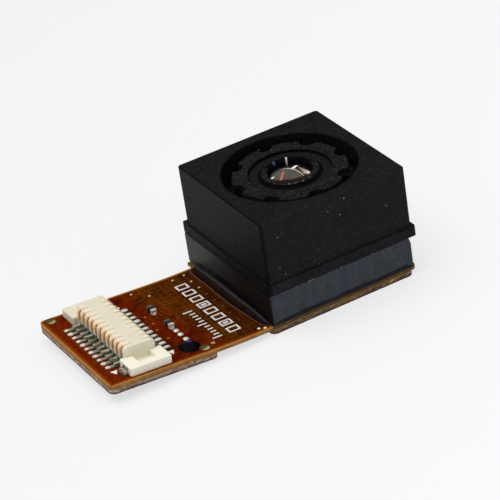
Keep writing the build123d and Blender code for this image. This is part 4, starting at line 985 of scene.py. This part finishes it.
def rounded_outline(x0, x1, y0, y1, corner, step):
    """Points round a rounded rectangle, anticlockwise, about step apart, and the way out at each."""
    pieces, ways = [], []
    centres = ((x1 - corner, y0 + corner, -90), (x1 - corner, y1 - corner, 0),
               (x0 + corner, y1 - corner, 90), (x0 + corner, y0 + corner, 180))
    for i, (cx, cy, start) in enumerate(centres):
        turn = np.radians(np.linspace(start, start + 90, CORNER_STEPS))
        way = np.stack([np.cos(turn), np.sin(turn)], -1)
        arc = np.array([cx, cy]) + corner * way
        nx, ny, _ = centres[(i + 1) % 4]
        last = way[-1]
        end = np.array([nx, ny]) + corner * last
        count = max(2, int(np.linalg.norm(end - arc[-1]) / step))
        run = arc[-1] + (end - arc[-1]) * np.linspace(0, 1, count, endpoint=False)[1:, None]
        pieces += [arc, run]
        ways += [way, np.repeat(last[None], count - 1, 0)]
    return np.concatenate(pieces), np.concatenate(ways)


def ragged(random, count, width):
    """Random values round a closed outline, each the mean of a width of draws round it."""
    draws = np.tile(random.random(count), 3)
    return np.convolve(draws, np.ones(width) / width, "same")[count:2 * count]


def add_plate(name, node, x0, x1, far_y, seed):
    """Glass laminate plate with a ragged cut edge: layers of one outline, each set in by a coarse and a
    fine random amount that grow downwards, between a top and a bottom that shrink evenly to their middle.
    low goes from 0 to 1 down the edge and is 2 on the bottom."""
    spacing = 0.035
    least_inset = 0.004
    coarse_inset = 0.016
    fine_inset = 0.020
    top = -FILM_T - BOND_T
    outline, way = rounded_outline(x0, x1, BOARD_NEAR_Y, far_y, PLATE_CORNER_R, spacing)
    count = len(outline)
    random = np.random.default_rng(seed)
    levels = (0.0, 0.10, 0.30, 0.50, 0.72, 0.90, 1.0)
    coarse = ragged(random, count, 9)
    coarse = (coarse - coarse.min()) / (coarse.max() - coarse.min())
    rings, low = [], []
    for level in levels:
        fine = ragged(random, count, 3)
        inset = least_inset + (coarse_inset * coarse + fine_inset * fine) * (0.35 + 0.65 * level)
        place = outline - way * inset[:, None]
        rings.append(on_film(place[:, 0], place[:, 1], top - PLATE_T * level))
        # low places the painted mauve contact shadow down the edge
        low.append(np.full(count, np.clip((level - 0.5) / 0.3, 0, 1)))
    middle = outline.mean(0)
    for shrink in (0.97, 0.5):
        place = middle + (outline - middle) * shrink
        rings.append(on_film(place[:, 0], place[:, 1], top - PLATE_T))
        rings.insert(0, on_film(place[:, 0], place[:, 1], top))
        low.append(np.full(count, 2.0))
        low.insert(0, np.zeros(count))
    add_mesh(name, capped(np.array(rings)), "stiffener", [node], {"low": np.concatenate(low)})


def blob(centre, size, seed):
    """Points and quads of a small grain: a ball stretched by size, its radius swollen by the sine of three
    times the angle round it times the sine of twice the angle down it."""
    pole = 0.06
    polar, angle = grid(np.linspace(pole, math.pi - pole, 7), round_steps(10))
    lump = 1 + 0.25 * np.sin(3 * angle + seed) * np.sin(2 * polar + 2 * seed)
    points = np.stack([np.sin(polar) * np.cos(angle), np.sin(polar) * np.sin(angle), np.cos(polar)], -1)
    points = points * lump[..., None] * np.array(size) + np.array(centre)
    return capped(points)


def face_grains(places, y, seed_step):
    """Flat grains on an upright face at y, from (x, z, size)."""
    return [blob((x, y, z), (0.032 * size, 0.009, 0.032 * size), seed_step * i)
            for i, (x, z, size) in enumerate(places)]


def add_specks():
    """Grains of dust on the housing's top and near face, and moulding burrs along the flange's foot."""
    top = [(-2.70, 4.14), (-2.61, 3.65), (-0.30, 2.92), (-3.9, -3.6), (3.6, -4.1), (-4.2, 0.6)]
    lying = (0.040, 0.026, 0.0075)
    grains = [blob((x, y, HOUSING_TOP - 0.010), lying, 1.7 * i) for i, (x, y) in enumerate(top)]
    face = [(3.22, 4.99, 1.0), (0.26, 5.62, 1.0), (-3.75, 5.81, 1.0), (-3.89, 3.90, 0.9), (-3.58, 3.38, 0.9),
            (-2.15, 3.81, 0.6), (-1.46, 3.13, 0.7), (0.65, 6.50, 1.3), (-0.45, 6.10, 1.0)]
    grains += face_grains(face, HOUSING_NEAR_Y + 0.004, 2.1)
    flange = [(-2.86, 2.85, 1.5), (-2.72, 2.92, 0.9), (-4.40, 2.95, 0.9)]
    grains += face_grains(flange, HOUSING_NEAR_Y - 0.078, 1.1)
    add_mesh("dust_grains", many(grains), "dust")
    burrs = [(-2.10, 0.26), (-0.18, 0.15), (1.92, 0.11), (-3.11, 0.08)]
    shreds = [blob((x, HOUSING_NEAR_Y - 0.095, FLANGE_BASE + 0.01), (length, 0.022, 0.040), 1.3 * i)
              for i, (x, length) in enumerate(burrs)]
    add_mesh("flange_burrs", many(shreds), "dust")


add_glue_bead()
add_side_glue()
add_barrel()
add_front_lens()
add_solder_rows()
add_small_solder()
add_ink_drop()
add_far_mark()
add_plate("head_plate_cut", "head_stiffener", BEND_START, span("head_stiffener")[1][0], HEAD_FAR_Y, 3)
add_plate("tail_plate_cut", "plug_stiffener", TAIL_TIP, BEND_END, TAIL_FAR_Y, 8)
add_specks()


def add_floor():
    """White table: plain white to the light. To the camera, and in gloss and glass, most of its tone is its
    own and changes a little across it, and the rest takes the shadow."""
    tone = 0.935
    tone_along_x = 0.0009
    tone_along_y = -0.0015
    glow_share = 0.70
    reach = 1.5
    mesh = bpy.data.meshes.new("floor")
    corners = [(-reach, -reach, 0), (reach, -reach, 0), (reach, reach, 0), (-reach, reach, 0)]
    mesh.from_pydata(corners, [], [(0, 1, 2, 3)])
    material = bpy.data.materials.new("table")
    tree = empty_tree(material)
    white = tree.node("ShaderNodeBsdfDiffuse", None, {"Color": (0.90, 0.90, 0.91)})
    x, y, _ = tree.place()
    strength = tone + x * tone_along_x + y * tone_along_y
    glow = tree.node("ShaderNodeEmission", None, {"Color": (1.0, 1.0, 1.0), "Strength": strength})
    seen = tree.node("ShaderNodeLightPath", out="Is Camera Ray")
    for kind in ("Is Glossy Ray", "Is Transmission Ray"):
        seen = tree.math("MAXIMUM", seen, tree.node("ShaderNodeLightPath", out=kind))
    table = tree.node("ShaderNodeMixShader", None, {0: seen * glow_share, 1: white, 2: glow})
    tree.node("ShaderNodeOutputMaterial", None, {"Surface": table})
    mesh.materials.append(material)
    placed("floor", mesh)


def add_world():
    """Bright overhead and dim towards the horizon, as under a soft box over a table."""
    horizon = (0.42, 0.42, 0.43)
    overhead = (1.35, 1.35, 1.36)
    world = bpy.data.worlds.new("world")
    bpy.context.scene.world = world
    tree = empty_tree(world)
    coords = tree.node("ShaderNodeTexCoord", out="Generated")
    height = tree.node("ShaderNodeSeparateXYZ", None, {0: coords}, 2)
    tone = height.step(0.25, 0.95).mix(horizon, overhead)
    sky = tree.node("ShaderNodeBackground", None, {"Color": tone, "Strength": 0.78})
    tree.node("ShaderNodeOutputWorld", None, {"Surface": sky})


def add_lamp():
    """Square lamp over the module, turned to its origin."""
    light = bpy.data.lights.new("soft_box", "AREA")
    light.size = LAMP_SIZE
    light.energy = LAMP_POWER
    lamp = placed("soft_box", light)
    lamp.location = LAMP_PLACE
    lamp.rotation_euler = (-Vector(LAMP_PLACE)).to_track_quat("-Z", "Y").to_euler()


def add_camera():
    """The photograph's camera: far off, with a long lens, tilted a little about its line of sight."""
    data = bpy.data.cameras.new("camera")
    data.lens = CAMERA_LENS
    data.sensor_width = CAMERA_FILM
    data.clip_start = 0.01
    data.clip_end = 10
    camera = placed("camera", data)
    turn = (
        Matrix.Rotation(math.radians(CAMERA_AZIMUTH), 4, "Z")
        @ Matrix.Rotation(math.radians(90 - CAMERA_ELEVATION), 4, "X")
        @ Matrix.Rotation(math.radians(CAMERA_ROLL), 4, "Z")
    )
    place = [(p + q) * MM for p, q in zip(CAMERA_PLACE, (AXIS_X, AXIS_Y, BOARD_TOP))]
    camera.matrix_world = Matrix.Translation(place) @ turn
    bpy.context.scene.camera = camera


add_floor()
add_world()
add_lamp()
add_camera()
bpy.context.scene.view_settings.view_transform = "Standard"
